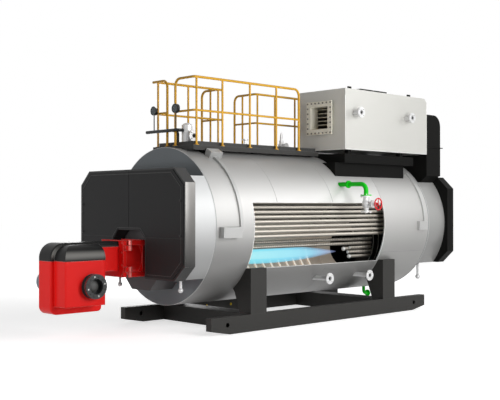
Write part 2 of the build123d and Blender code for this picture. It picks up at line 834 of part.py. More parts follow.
def railing(route, corners, posts, bent_start=False, bent_end=False):
    """Rails along (X, Y) points with posts and feet; at a bent end the top rail runs down to the deck."""
    level = [(x, y, rail_top_z) for x, y in route]
    bends = list(corners)
    feet = list(posts)
    if bent_start:
        level.insert(0, (*route[0], deck_z))
        bends.insert(0, rail_bend)
        feet.append(route[0])
    if bent_end:
        level.append((*route[-1], deck_z))
        bends.append(rail_bend)
        feet.append(route[-1])
    pipe_run(level, bends, rail_radius)
    pipe_run([(x, y, rail_mid_z) for x, y in route], corners, mid_rail_radius)
    for x, y in posts:
        rod((x, y, deck_z), (x, y, rail_top_z), post_radius)
    for x, y in feet:
        rod((x, y, deck_z), (x, y, deck_z + rail_foot_height), rail_foot_radius)


def side_posts(x, start_y, end_y, shares):
    """Places of posts along a side rail, at shares of the way between two ends."""
    return [(x, start_y + share * (end_y - start_y)) for share in shares]


with BuildPart() as rail_near:
    railing([(rail_near_x - rail_corner_return, rail_front_y), (rail_near_x, rail_front_y),
             (rail_near_x, near_rail_end_y)], [rail_corner_bend],
            side_posts(rail_near_x, rail_front_y + rail_corner_bend, near_rail_end_y, near_post_shares),
            bent_end=True)
rail_near.part.label = "rail_near"
export_step(rail_near.part, "parts/rail_near.step")

with BuildPart() as rails_across:
    railing([(front_right_bent_x, rail_front_y),
             (rail_near_x - rail_corner_return - curved_seat_gap, rail_front_y)], [], [], bent_start=True)
    railing([(front_left_bent_x, rail_front_y), (rail_far_x - rail_overrun, rail_front_y)], [], [],
            bent_start=True)
    railing([(rear_bent_x, rail_rear_y), (rail_far_x + butt_gap, rail_rear_y)], [], [], bent_start=True)
rails_across.part.label = "rails_across"
export_step(rails_across.part, "parts/rails_across.step")

with BuildPart() as rail_far:
    first_post_y = rail_front_y + first_post_inset
    railing([(rail_far_x, rail_front_y + butt_gap), (rail_far_x, landing_rail_y[0] + rail_overrun)], [],
            side_posts(rail_far_x, first_post_y, landing_rail_y[0], far_post_shares))
    railing([(rail_far_x - rail_corner_return, landing_rail_y[1]), (rail_far_x, landing_rail_y[1]),
             (rail_far_x, rail_rear_y + rail_radius)], [rail_corner_bend],
            side_posts(rail_far_x, landing_rail_y[1], rail_rear_y, rear_post_shares)
            + [(rail_far_x, landing_rail_y[1] + rail_corner_bend)])
rail_far.part.label = "rail_far"
export_step(rail_far.part, "parts/rail_far.step")

with BuildPart() as rail_landing:
    railing([(landing_far_x + landing_front_bent_inset, landing_rail_y[0]),
             (rail_far_x - butt_gap, landing_rail_y[0])], [],
            [(deck_far_x - landing_front_post_reach, landing_rail_y[0])], bent_start=True)
    railing([(landing_far_x + landing_rear_bent_inset, landing_rail_y[1]),
             (rail_far_x - rail_corner_return - curved_seat_gap, landing_rail_y[1])], [],
            [(deck_far_x - landing_rear_post_reach, landing_rail_y[1])], bent_start=True)
rail_landing.part.label = "rail_landing"
export_step(rail_landing.part, "parts/rail_landing.step")

# Fittings on the platform
vessel_y = along(vessel_setback)
vessel_nozzle_z = deck_z + vessel_nozzle_rise
vessel_face_x = vessel_x + vessel_nozzle_reach
header_y = along(header_setback)
header_z = deck_z + header_rise

with BuildPart() as steam_outlet:
    with BuildSketch(facing(vessel_y)) as vessel_section:
        with BuildLine():
            foot = vessel_x + vessel_radius + vessel_foot_margin
            side = vessel_x + vessel_radius
            wall_top_z = deck_z + vessel_height
            crest = (vessel_x, wall_top_z + vessel_dome_height)
            Polyline(crest, (vessel_x, deck_z), (foot, deck_z), (foot, deck_z + flange_thickness),
                     (side, deck_z + flange_thickness), (side, wall_top_z))
            TangentArc(crest, (side, wall_top_z), tangent=(1, 0))
        make_face()
    revolve(vessel_section.sketch, axis=Axis((vessel_x, vessel_y, deck_z), (0, 0, 1)))
    side_nozzle(vessel_x, vessel_face_x, vessel_y, vessel_nozzle_z)
steam_outlet.part.label = "steam_outlet"
export_step(steam_outlet.part, "parts/steam_outlet.step")

with BuildPart() as gauge_header:
    pipe_run([(header_far_x, header_y, header_z), (vessel_x, header_y, header_z),
              (vessel_x, vessel_y, header_z)], [header_bend], header_radius)
    branch_y = along(branch_setback)
    pipe_run([(branch_x, header_y, header_z), (branch_x, branch_y, header_z), (branch_x, branch_y, deck_z)],
             [header_bend], branch_radius)
    for riser_x, gauge_radius in gauge_places:
        rod((riser_x, header_y, header_z), (riser_x, header_y, header_z + gauge_riser_length),
            gauge_riser_radius)
    rod((vessel_x, vessel_y, deck_z), (vessel_x, vessel_y, deck_z + 2 * vessel_height),
        vessel_radius + curved_seat_gap, Mode.SUBTRACT)
gauge_header.part.label = "gauge_header"
export_step(gauge_header.part, "parts/gauge_header.step")

with BuildPart() as pressure_gauges:
    for riser_x, gauge_radius in gauge_places:
        gauge_z = header_z + gauge_riser_length + gauge_radius + curved_seat_gap
        rod((riser_x, header_y - gauge_half_depth, gauge_z),
            (riser_x, header_y + gauge_half_depth, gauge_z), gauge_radius)
pressure_gauges.part.label = "pressure_gauges"
export_step(pressure_gauges.part, "parts/pressure_gauges.step")


def stack(x, y, layers):
    """Round fitting on the deck, from (radius, height) layers piled upwards."""
    level = deck_z
    for radius, height in layers:
        rod((x, y, level), (x, y, level + height), radius)
        level = level + height


with BuildPart() as safety_valve:
    safety_valve_y = deck_rear_y - safety_valve_reserve
    safety_outlet_z = deck_z + safety_outlet_rise
    outlet_flange_radius, outlet_flange_width = safety_outlet_flange
    stack(0, safety_valve_y,
          (safety_foot, safety_neck, safety_body, safety_bonnet, safety_cap, safety_stem))
    rod((0, safety_valve_y, safety_outlet_z), (safety_outlet_reach, safety_valve_y, safety_outlet_z),
        safety_outlet_radius)
    rod((safety_outlet_reach - outlet_flange_width, safety_valve_y, safety_outlet_z),
        (safety_outlet_reach, safety_valve_y, safety_outlet_z), outlet_flange_radius)
safety_valve.part.label = "safety_valve"
export_step(safety_valve.part, "parts/safety_valve.step")

with BuildPart() as vent_valve:
    stack(0, safety_valve_y - vent_valve_spacing,
          (vent_foot, vent_neck, vent_body, vent_stem, vent_wheel))
vent_valve.part.label = "vent_valve"
export_step(vent_valve.part, "parts/vent_valve.step")

# Condenser
condenser_middle_x = (condenser_x[0] + condenser_x[1]) / 2
outlet_center_z = condenser_z[0] + outlet_center_rise
opening_z = (outlet_center_z - outlet_opening / 2, outlet_center_z + outlet_opening / 2)
opening_x = (condenser_middle_x - outlet_opening / 2, condenser_middle_x + outlet_opening / 2)

with BuildPart() as condenser_casing:
    side_prism([(condenser_y[0], condenser_z[0]), (condenser_y[1], condenser_z[0]),
                (condenser_y[1], condenser_z[1] - condenser_chamfer),
                (condenser_y[1] - condenser_chamfer, condenser_z[1]), (condenser_y[0], condenser_z[1])],
               *condenser_x)
    block((condenser_x[0] + condenser_wall, condenser_x[1] - condenser_wall),
          (condenser_y[0] + condenser_wall, condenser_y[1] - condenser_wall - condenser_chamfer),
          (condenser_z[0] + condenser_wall, condenser_z[1] - condenser_wall), Mode.SUBTRACT)
    block(opening_x, (condenser_y[0], condenser_y[0] + condenser_wall), opening_z, Mode.SUBTRACT)
condenser_casing.part.label = "condenser_casing"
export_step(condenser_casing.part, "parts/condenser_casing.step")


def framed(half, y):
    """Square block about the outlet's middle."""
    block((condenser_middle_x - half, condenser_middle_x + half), y,
          (outlet_center_z - half, outlet_center_z + half))


with BuildPart() as flue_outlet:
    outlet_y = condenser_y[0] - outlet_depth
    framed(outlet_flange_size / 2, (outlet_y, outlet_y + outlet_flange_plate))
    framed(outlet_opening / 2 + outlet_flange_plate, (outlet_y, condenser_y[0]))
    framed(outlet_opening / 2, (condenser_y[0], outlet_y + outlet_sleeve_depth))
    block((opening_x[0] + fin_thickness, opening_x[1] - fin_thickness),
          (outlet_y, outlet_y + outlet_sleeve_depth),
          (opening_z[0] + fin_thickness, opening_z[1] - fin_thickness), Mode.SUBTRACT)
flue_outlet.part.label = "flue_outlet"
export_step(flue_outlet.part, "parts/flue_outlet.step")

with BuildPart() as condenser_fins:
    fin_start_y = outlet_y + outlet_sleeve_depth
    for number in range(fin_count):
        fin_z = opening_z[0] + (number + 0.5) * outlet_opening / fin_count
        block((condenser_x[0] + condenser_wall, condenser_x[1] - condenser_wall),
              (fin_start_y, fin_start_y + fin_length), (fin_z - fin_thickness / 2, fin_z + fin_thickness / 2))
condenser_fins.part.label = "condenser_fins"
export_step(condenser_fins.part, "parts/condenser_fins.step")

with BuildPart() as condenser_nozzles:
    for offset_y in water_nozzle_offsets:
        side_nozzle(condenser_x[1], condenser_x[1] + water_nozzle_reach, condenser_y[0] + offset_y,
                    condenser_z[0] + water_nozzle_rise)
condenser_nozzles.part.label = "condenser_nozzles"
export_step(condenser_nozzles.part, "parts/condenser_nozzles.step")

with BuildPart() as condenser_hatches:
    for start, end in hatch_offsets:
        block((condenser_middle_x - hatch_half_width, condenser_x[1] - hatch_edge_gap),
              (condenser_y[0] + start, condenser_y[0] + end), (condenser_z[1], condenser_z[1] + hatch_height))
    lug_x = condenser_x[1] - lug_inset
    for start in lug_offsets:
        block((lug_x - lug_thickness / 2, lug_x + lug_thickness / 2),
              (condenser_y[0] + start, condenser_y[0] + start + lug_length),
              (condenser_z[1], condenser_z[1] + lug_height))
condenser_hatches.part.label = "condenser_hatches"
export_step(condenser_hatches.part, "parts/condenser_hatches.step")


def inside(limits, insets):
    """Two limits moved inwards, each by its own inset."""
    return limits[0] + insets[0], limits[1] - insets[1]


with BuildPart() as condenser_support:
    tray_z = (condenser_z[0] - support_gap - support_tray_height, condenser_z[0] - support_gap)
    tray_x = inside(condenser_x, support_tray_insets)
    block(inside(condenser_x, support_box_insets), inside(condenser_y, support_box_ends),
          (tray_z[0] - support_box_depth, tray_z[0]))
    block(tray_x, inside(condenser_y, support_tray_ends), tray_z)
    for leg_x in (tray_x[0] + support_leg / 2, tray_x[1] - support_leg):
        for leg_y in inside(condenser_y, support_leg_ends):
            block((leg_x, leg_x + support_leg), (leg_y, leg_y + support_leg), (tray_z[1], condenser_z[0]))
    cut_shell_seat(shell_front_y, shell_rear_y)
condenser_support.part.label = "condenser_support"
export_step(condenser_support.part, "parts/condenser_support.step")

with BuildPart() as flue_duct:
    duct_y = (condenser_y[1], condenser_y[1] + duct_depth)
    duct_top_z = condenser_z[1] - duct_top_drop
    hood_top_z = drum_top_z + duct_hood_height
    joint_z = condenser_z[0] + duct_joint_rise
    rounded_side([(duct_y[0], hood_top_z), (duct_y[1], hood_top_z), (duct_y[1], duct_top_z),
                  (duct_y[0], duct_top_z)], [0, 0, duct_bend_radius, 0], *condenser_x)
    prism([(condenser_x[0] + duct_hood_insets[0], drum_top_z),
           (condenser_x[1] - duct_hood_insets[1], drum_top_z),
           (condenser_x[1], hood_top_z), (condenser_x[0], hood_top_z)], duct_y[0], rear_cover_y)
    block((condenser_x[0], condenser_x[1] + duct_joint_margin[0]),
          (duct_y[0], duct_y[1] + duct_joint_margin[1]), (joint_z, joint_z + duct_joint_plate))
flue_duct.part.label = "flue_duct"
export_step(flue_duct.part, "parts/flue_duct.step")

# Feed pipe, its valve and handwheel
feed_y = shell_rear_y - feed_reserve
feed_z = shell_axis_z + feed_rise
feed_x = shell_radius + feed_reach
valve_top_z = feed_z - valve_drop
valve_bottom_z = valve_top_z - valve_height
valve_middle_z = (valve_top_z + valve_bottom_z) / 2
bonnet_x = feed_x + bonnet_length
gland_x = bonnet_x + gland_length
wheel_x = feed_x + wheel_reach

with BuildPart() as feed_pipe:
    pipe_run([(shell_radius * feed_root_share, feed_y, feed_z), (feed_x, feed_y, feed_z),
              (feed_x, feed_y, valve_top_z + flange_thickness / 2)], [feed_bend], nozzle_radius)
    coupling_x = shell_radius - feed_coupling_inset
    rod((coupling_x - feed_coupling_length / 2, feed_y, feed_z),
        (coupling_x + feed_coupling_length / 2, feed_y, feed_z), feed_coupling_radius)
    flange((feed_x, feed_y, valve_top_z), (0, 0, -1))
    cut_shell_seat(feed_y - flange_radius, feed_y + flange_radius)
feed_pipe.part.label = "feed_pipe"
export_step(feed_pipe.part, "parts/feed_pipe.step")

with BuildPart() as feed_valve:
    flange((feed_x, feed_y, valve_top_z), (0, 0, 1))
    rod((feed_x, feed_y, valve_bottom_z + flange_thickness / 2),
        (feed_x, feed_y, valve_top_z - flange_thickness / 2), 2 * nozzle_radius - nozzle_bore)
    flange((feed_x, feed_y, valve_bottom_z), (0, 0, -1))
    with Locations((feed_x, feed_y, valve_middle_z)):
        Sphere(valve_body_radius)
    rod((feed_x, feed_y, valve_middle_z), (bonnet_x, feed_y, valve_middle_z), bonnet_radius)
    rod((bonnet_x - bonnet_flange_thickness, feed_y, valve_middle_z), (bonnet_x, feed_y, valve_middle_z),
        bonnet_flange_radius)
    rod((bonnet_x, feed_y, valve_middle_z), (gland_x, feed_y, valve_middle_z), gland_radius)
    rod((gland_x - gland_bore_depth, feed_y, valve_middle_z), (gland_x, feed_y, valve_middle_z),
        stem_radius + pin_clearance, Mode.SUBTRACT)
feed_valve.part.label = "feed_valve"
export_step(feed_valve.part, "parts/feed_valve.step")

with BuildPart() as feed_handwheel:
    with BuildSketch(facing(feed_y)) as rim:
        with Locations((wheel_x, valve_middle_z + wheel_rim_radius)):
            RegularPolygon(wheel_tube_radius, 8)
    revolve(rim.sketch, axis=Axis((wheel_x, feed_y, valve_middle_z), (1, 0, 0)))
    rod((gland_x - gland_bore_depth + stem_end_clearance, feed_y, valve_middle_z),
        (wheel_x + wheel_hub_length / 2 + stem_end_clearance, feed_y, valve_middle_z), stem_radius)
    rod((wheel_x - wheel_hub_length / 2, feed_y, valve_middle_z),
        (wheel_x + wheel_hub_length / 2, feed_y, valve_middle_z), wheel_hub_radius)
    for spoke in range(wheel_spoke_count):
        turn = radians(90 + spoke * 360 / wheel_spoke_count)
        rod((wheel_x, feed_y, valve_middle_z),
            (wheel_x, feed_y + wheel_rim_radius * cos(turn), valve_middle_z + wheel_rim_radius * sin(turn)),
            wheel_spoke_radius)
feed_handwheel.part.label = "feed_handwheel"
export_step(feed_handwheel.part, "parts/feed_handwheel.step")

with BuildPart() as lower_nozzles:
    for setback in lower_nozzle_setbacks:
        side_nozzle(shell_radius - lower_nozzle_root_margin, shell_radius - lower_nozzle_face_margin,
                    along(setback), shell_bottom_z + lower_nozzle_rise)
    cut_shell_seat(shell_front_y, shell_rear_y)
lower_nozzles.part.label = "lower_nozzles"
export_step(lower_nozzles.part, "parts/lower_nozzles.step")

with BuildPart() as blowdown_pipe:
    blow_y = shell_rear_y - blowdown_reserve
    blow_z = shell_bottom_z - blowdown_drop
    blow_end_y = blow_y + blowdown_reach
    pipe_run([(0, blow_y, shell_bottom_z + seat_bite), (0, blow_y, blow_z), (0, blow_end_y, blow_z)],
             [blowdown_bend], blowdown_radius)
    rod((0, blow_end_y - flange_thickness, blow_z), (0, blow_end_y, blow_z), blowdown_flange_radius)
    cut_shell_seat(blow_y - flange_radius, blow_y + flange_radius)
blowdown_pipe.part.label = "blowdown_pipe"
export_step(blowdown_pipe.part, "parts/blowdown_pipe.step")

with BuildPart() as smokebox_drains:
    for side in (-1, 1):
        for drain_y, (length, pipe_radius, cap_radius) in (
                (along(-drain_front_gap), front_drain), (shell_rear_y + drain_rear_gap, rear_drain)):
            rod((side * drain_x, drain_y, cover_bottom_z - length),
                (side * drain_x, drain_y, cover_bottom_z), pipe_radius)
            with Locations((side * drain_x, drain_y, cover_bottom_z - length)):
                Sphere(cap_radius)
smokebox_drains.part.label = "smokebox_drains"
export_step(smokebox_drains.part, "parts/smokebox_drains.step")


# Junction boxes and wireways on the shell
def on_shell(angle, y, height):
    """Plane that stands on the shell at an angle above the +X side, looking outwards."""
    turn = radians(angle)
    reach = shell_radius + height
    return Plane(origin=(reach * cos(turn), y, shell_axis_z + reach * sin(turn)), x_dir=(0, 1, 0),
                 z_dir=(cos(turn), 0, sin(turn)))


def shell_box(angle, start, end, width, height):
    """Box on the shell between two setbacks."""
    with BuildSketch(on_shell(angle, along((start + end) / 2), -box_bite)) as base:
        Rectangle(end - start, width)
    extrude(base.sketch, amount=height + box_bite)


def shell_band(low_angle, high_angle, y):
    """Flat trunking that follows the shell's curve between two angles."""
    reach = 3 * shell_radius
    corners = [(reach * cos(radians(angle)), shell_axis_z + reach * sin(radians(angle)))
               for angle in (low_angle, high_angle)]
    with BuildSketch(facing(y)) as band:
        with Locations((0, shell_axis_z)):
            Circle(shell_radius + wireway_height)
            Circle(shell_radius + curved_seat_gap, mode=Mode.SUBTRACT)
        with BuildLine():
            Polyline((0, shell_axis_z), *corners, close=True)
        make_face(mode=Mode.INTERSECT)
    extrude(band.sketch, amount=-wireway_width)


with BuildPart() as wireways:
    shell_band(wireway_low_angle, front_wireway_angle, along(front_wireway_setback))
    shell_band(wireway_low_angle, rear_wireway_angle, shell_rear_y - rear_wireway_reserve)
    shell_box(*low_box)
    shell_box(*high_box)
    shell_box(rear_box_section[0], shell_length - rear_box_reserves[0], shell_length - rear_box_reserves[1],
              *rear_box_section[1:])
    cut_shell_seat(shell_front_y, shell_rear_y)
wireways.part.label = "wireways"
export_step(wireways.part, "parts/wireways.step")

# Burner, seen from the boiler outwards
throat_face_y = along(-throat_tube_end_gap)
flange_back_y = throat_face_y - flange_gap
flange_front_y = flange_back_y - burner_flange_thickness
hinge_x = burner_flange_half + hinge_offset_x
hinge_y = along(-hinge_axis_gap)
plate_y = (along(-throat_plate_gap), along(-throat_plate_gap) + throat_plate_thickness)
plate_z = (furnace_axis_z - burner_flange_half, furnace_axis_z + burner_flange_half)
knuckle_pitch = hinge_knuckle + hinge_gap
fixed_knuckles = (plate_z[0], plate_z[1] - hinge_knuckle)
swinging_knuckles = (plate_z[0] + knuckle_pitch, plate_z[1] - hinge_knuckle - knuckle_pitch)
throat_end_y = front_cover_y + throat_recess

with BuildPart() as burner_throat:
    block((-burner_flange_half, burner_flange_half), plate_y, plate_z)
    rod((0, throat_face_y, furnace_axis_z), (0, throat_end_y, furnace_axis_z), throat_tube_radius)
    rod((0, throat_face_y, furnace_axis_z), (0, throat_end_y, furnace_axis_z), throat_bore_radius,
        Mode.SUBTRACT)
    for level in fixed_knuckles:
        knuckle_z = (level, level + hinge_knuckle)
        rod((hinge_x, hinge_y, knuckle_z[0]), (hinge_x, hinge_y, knuckle_z[1]), hinge_barrel_radius)
        block((hinge_x - hinge_leaf_half, hinge_x + hinge_leaf_half), (hinge_y, plate_y[1]), knuckle_z)
        block((burner_flange_half - hinge_leaf_bite, hinge_x + hinge_leaf_half), plate_y, knuckle_z)
    for pin_low, pin_high in ((plate_z[0], plate_z[0] + 2 * knuckle_pitch),
                              (plate_z[1] - 2 * knuckle_pitch, plate_z[1])):
        rod((hinge_x, hinge_y, pin_low), (hinge_x, hinge_y, pin_high), hinge_pin_radius)
burner_throat.part.label = "burner_throat"
export_step(burner_throat.part, "parts/burner_throat.step")

with BuildPart() as burner_flange:
    block((-burner_flange_half, burner_flange_half), (flange_front_y, flange_back_y), plate_z)
    for level in swinging_knuckles:
        knuckle_z = (level, level + hinge_knuckle)
        rod((hinge_x, hinge_y, knuckle_z[0]), (hinge_x, hinge_y, knuckle_z[1]), hinge_barrel_radius)
        block((burner_flange_half - hinge_leaf_bite, hinge_x), (flange_front_y + hinge_leaf_bite, hinge_y),
              knuckle_z)
        rod((hinge_x, hinge_y, knuckle_z[0]), (hinge_x, hinge_y, knuckle_z[1]),
            hinge_pin_radius + pin_clearance, Mode.SUBTRACT)
burner_flange.part.label = "burner_flange"
export_step(burner_flange.part, "parts/burner_flange.step")

housing_front_y = along(-housing_front_gap)
housing_rear_y = along(-housing_rear_gap)
housing_step_y = along(-housing_step_gap)
split_z = furnace_axis_z + housing_split_rise
arm_split_z = furnace_axis_z + arm_split_rise
volute_split_z = furnace_axis_z + volute_split_rise
volute_x = (housing_half_width, volute_face_x)
volute_y = (along(-volute_front_gap), along(-volute_rear_gap))
fan_y = along(-fan_axis_gap)
fan_z = furnace_axis_z - fan_axis_drop


def side_rims(part, joints_y, joints_z):
    """Edges round both sides of a housing, without those that lie on its joint planes."""
    sides = part.faces().sort_by(Axis.X)
    rims = sides[0].outer_wire().edges() + sides[-1].outer_wire().edges()
    return [edge for edge in rims
            if min(abs(edge.center().Y - y) for y in joints_y) > curved_seat_gap
            and min(abs(edge.center().Z - z) for z in joints_z) > curved_seat_gap]


with BuildPart() as burner_housing:
    bottom_z = furnace_axis_z - housing_drop
    arm_bottom_z = furnace_axis_z - arm_drop
    rounded_side([(housing_front_y, bottom_z), (housing_rear_y, bottom_z), (housing_rear_y, arm_bottom_z),
                  (flange_front_y, arm_bottom_z), (flange_front_y, arm_split_z),
                  (housing_step_y, arm_split_z), (housing_step_y, split_z), (housing_front_y, split_z)],
                 [housing_toe_radius, housing_heel_radius, arm_root_radius, 0, 0, 0, 0, 0],
                 -housing_half_width, housing_half_width)
    fillet(side_rims(burner_housing.part, (flange_front_y, housing_step_y), (split_z, arm_split_z)),
           housing_edge_radius)
burner_housing.part.label = "burner_housing"
export_step(burner_housing.part, "parts/burner_housing.step")

with BuildPart() as volute_housing:
    block(volute_x, volute_y, (furnace_axis_z - volute_drop, volute_split_z))
    fillet(volute_housing.edges().filter_by(Axis.Z).group_by(Axis.X)[-1], volute_edge_radius)
volute_housing.part.label = "volute_housing"
export_step(volute_housing.part, "parts/volute_housing.step")

with BuildPart() as volute_hood:
    volute_crest_z = furnace_axis_z + volute_rise
    rounded_side([(volute_y[0], volute_split_z), (volute_y[1], volute_split_z),
                  (volute_y[1], volute_crest_z), (volute_y[0], volute_crest_z)],
                 [0, 0, 0, volute_crown_radius], *volute_x)
    with BuildSketch(facing(volute_y[0])) as roll:
        with BuildLine():
            FilletPolyline((volute_x[0], volute_split_z), (volute_x[1], volute_split_z),
                           (volute_x[1], volute_crest_z), (volute_x[0], volute_crest_z),
                           radius=[0, 0, volute_crown_radius, 0], close=True)
        make_face()
    extrude(roll.sketch, amount=volute_y[0] - volute_y[1], mode=Mode.INTERSECT)

with BuildPart() as burner_cover:
    cover_crest_z = furnace_axis_z + housing_rise
    rounded_side([(housing_front_y, split_z), (housing_step_y, split_z), (housing_step_y, arm_split_z),
                  (flange_front_y, arm_split_z), (flange_front_y, cover_crest_z),
                  (housing_front_y, cover_crest_z)],
                 [0, 0, 0, 0, 0, housing_crown_radius], -housing_half_width, housing_half_width)
    fillet(side_rims(burner_cover.part, (flange_front_y, housing_step_y), (split_z, arm_split_z)),
           housing_edge_radius)
    add(volute_hood.part)
burner_cover.part.label = "burner_cover"
export_step(burner_cover.part, "parts/burner_cover.step")

with BuildPart() as air_inlet:
    face_x = volute_face_x + inlet_length
    rod((volute_face_x, fan_y, fan_z), (face_x, fan_y, fan_z), inlet_neck_radius)
    rod((volute_face_x, fan_y, fan_z), (volute_face_x + inlet_floor, fan_y, fan_z), inlet_radius)
    rod((face_x - inlet_rim_thickness, fan_y, fan_z), (face_x, fan_y, fan_z), inlet_radius)
    rod((volute_face_x + inlet_floor, fan_y, fan_z), (face_x, fan_y, fan_z), inlet_bore_radius, Mode.SUBTRACT)
air_inlet.part.label = "air_inlet"
export_step(air_inlet.part, "parts/air_inlet.step")

with BuildPart() as fan_motor:
    rod((-housing_half_width - motor_length, fan_y, fan_z), (-housing_half_width, fan_y, fan_z), motor_radius)
    fillet(fan_motor.faces().sort_by(Axis.X)[0].edges(), motor_edge_radius)
fan_motor.part.label = "fan_motor"
export_step(fan_motor.part, "parts/fan_motor.step")
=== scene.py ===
"""Looks of a cut-away fire-tube boiler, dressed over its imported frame. Metres, +Z up."""
from math import cos, pi, radians, sin

import bmesh
import bpy
from mathutils import Matrix, Vector


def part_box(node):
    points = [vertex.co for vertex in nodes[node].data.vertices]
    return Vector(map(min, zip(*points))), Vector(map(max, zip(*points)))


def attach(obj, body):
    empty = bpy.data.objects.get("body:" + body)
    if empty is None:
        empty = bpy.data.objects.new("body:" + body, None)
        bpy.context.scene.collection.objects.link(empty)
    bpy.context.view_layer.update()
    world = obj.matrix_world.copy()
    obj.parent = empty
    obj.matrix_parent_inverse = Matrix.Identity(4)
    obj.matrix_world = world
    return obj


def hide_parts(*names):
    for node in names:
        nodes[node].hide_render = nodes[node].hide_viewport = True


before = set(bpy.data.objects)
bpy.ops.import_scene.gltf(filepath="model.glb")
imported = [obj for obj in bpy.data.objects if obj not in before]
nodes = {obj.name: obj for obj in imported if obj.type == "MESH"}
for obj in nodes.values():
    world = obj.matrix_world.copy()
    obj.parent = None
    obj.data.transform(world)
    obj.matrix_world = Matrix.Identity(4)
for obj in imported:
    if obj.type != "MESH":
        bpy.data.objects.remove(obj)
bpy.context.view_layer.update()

# Places read from the frame
shell_low, shell_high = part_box("shell_course_1")
shell_radius = (shell_high.z - shell_low.z) / 2
shell_axis_z = (shell_high.z + shell_low.z) / 2


# Node groups for finishes
def new_group(name, inputs, outputs):
    """Empty shader group with float, colour or vector sockets; gives it and both ends' sockets."""
    group = bpy.data.node_groups.new(name, "ShaderNodeTree")
    kinds = {"value": "NodeSocketFloat", "color": "NodeSocketColor", "vector": "NodeSocketVector"}
    for label, kind, default in inputs:
        socket = group.interface.new_socket(label, in_out="INPUT", socket_type=kinds[kind])
        if default is not None:
            socket.default_value = default
    for label, kind in outputs:
        group.interface.new_socket(label, in_out="OUTPUT", socket_type=kinds[kind])
    given = group.nodes.new("NodeGroupInput").outputs
    result = group.nodes.new("NodeGroupOutput").inputs
    return group, given, result


def feed(node, **values):
    """Link sockets to a node's inputs, or give them plain values; an underscore stands for a space."""
    for label, value in values.items():
        socket = node.inputs[label.replace("_", " ")]
        if isinstance(value, bpy.types.NodeSocket):
            node.id_data.links.new(value, socket)
        else:
            socket.default_value = value
    return node


def math_node(tree, operation, first, second=None):
    """Math node on two sockets or numbers; gives its output."""
    node = tree.nodes.new("ShaderNodeMath")
    node.operation = operation
    for place, value in enumerate((first, second)):
        if value is None:
            continue
        if isinstance(value, (int, float)):
            node.inputs[place].default_value = value
        else:
            tree.links.new(value, node.inputs[place])
    return node.outputs[0]


def multiply(tree, first, second):
    """Product of two sockets or numbers."""
    return math_node(tree, "MULTIPLY", first, second)


def add(tree, first, second):
    """Sum of two sockets or numbers."""
    return math_node(tree, "ADD", first, second)


def noise_node(tree, vector, scale, detail=3.0, roughness=0.55):
    """Noise texture on a vector; gives its grey output."""
    node = tree.nodes.new("ShaderNodeTexNoise")
    feed(node, Vector=vector, Scale=scale, Detail=detail, Roughness=roughness)
    return node.outputs["Fac"]


def map_range(tree, value, from_min, from_max, to_min=0.0, to_max=1.0, smooth=False):
    """Map a socket from one range to another; the far end may be a socket too."""
    node = tree.nodes.new("ShaderNodeMapRange")
    node.interpolation_type = "SMOOTHSTEP" if smooth else "LINEAR"
    feed(node, Value=value, From_Min=from_min, From_Max=from_max, To_Min=to_min, To_Max=to_max)
    return node.outputs["Result"]


def coordinates(tree):
    """Texture coordinates, by name."""
    return tree.nodes.new("ShaderNodeTexCoord").outputs


def axes_of(tree, vector):
    """Split a vector socket; gives the outputs X, Y and Z."""
    node = tree.nodes.new("ShaderNodeSeparateXYZ")
    tree.links.new(vector, node.inputs[0])
    return node.outputs


def rays_to_eye(tree):
    """1 for what the camera sees, straight, in a reflection or through glass, else 0."""
    rays = tree.nodes.new("ShaderNodeLightPath").outputs
    bounced = math_node(tree, "MAXIMUM", rays["Is Glossy Ray"], rays["Is Transmission Ray"])
    return math_node(tree, "MAXIMUM", rays["Is Camera Ray"], bounced)


def mix_color(tree, factor, under, over):
    """Lay a colour over a colour socket where a mask is light; gives the colour output."""
    node = tree.nodes.new("ShaderNodeMix")
    node.data_type = "RGBA"
    # Places of the node's colour sockets among those of its other kinds
    first_color, second_color, color_result = 6, 7, 2
    tree.links.new(factor, node.inputs["Factor"])
    tree.links.new(under, node.inputs[first_color])
    node.inputs[second_color].default_value = (*over, 1.0)
    return node.outputs[color_result]


def darken(tree, tint, shade):
    """Multiply a colour by a grey value."""
    node = tree.nodes.new("ShaderNodeHueSaturation")
    return feed(node, Color=tint, Value=shade).outputs["Color"]


def build_tone_group():
    """Slow patches and fine specks that darken and lighten a coat, and its roughness."""
    group, given, result = new_group(
        "coat_tone",
        [("Color", "color", None), ("Patch Scale", "value", 1.2), ("Spread", "value", 0.12),
         ("Speck Scale", "value", 160.0), ("Roughness", "value", 0.4)],
        [("Color", "color"), ("Roughness", "value"), ("Grain", "value")])
    place = coordinates(group)
    patch = noise_node(group, place["Object"], given["Patch Scale"], 4.0)
    speck = noise_node(group, place["Object"], given["Speck Scale"], 2.0)
    patch_share, speck_share = 0.7, 0.3
    both = add(group, multiply(group, patch, patch_share), multiply(group, speck, speck_share))
    swing = multiply(group, math_node(group, "SUBTRACT", both, 0.5), given["Spread"])
    shade = add(group, multiply(group, swing, 2.0), 1.0)
    group.links.new(darken(group, given["Color"], shade), result["Color"])
    group.links.new(add(group, given["Roughness"], swing), result["Roughness"])
    group.links.new(speck, result["Grain"])
    return group


def build_brush_group():
    """Fine streaks along one direction, as a rolled or brushed sheet has."""
    group, given, result = new_group(
        "brushed_sheet",
        [("Stretch", "vector", (3.0, 3.0, 400.0)), ("Strength", "value", 0.12)],
        [("Streak", "value"), ("Shade", "value")])
    place = coordinates(group)
    stretch = group.nodes.new("ShaderNodeVectorMath")
    stretch.operation = "MULTIPLY"
    group.links.new(place["Object"], stretch.inputs[0])
    group.links.new(given["Stretch"], stretch.inputs[1])
    streak = noise_node(group, stretch.outputs[0], 1.0, 3.0, 0.6)
    swing = multiply(group, math_node(group, "SUBTRACT", streak, 0.5), given["Strength"])
    group.links.new(streak, result["Streak"])
    group.links.new(add(group, swing, 1.0), result["Shade"])
    return group


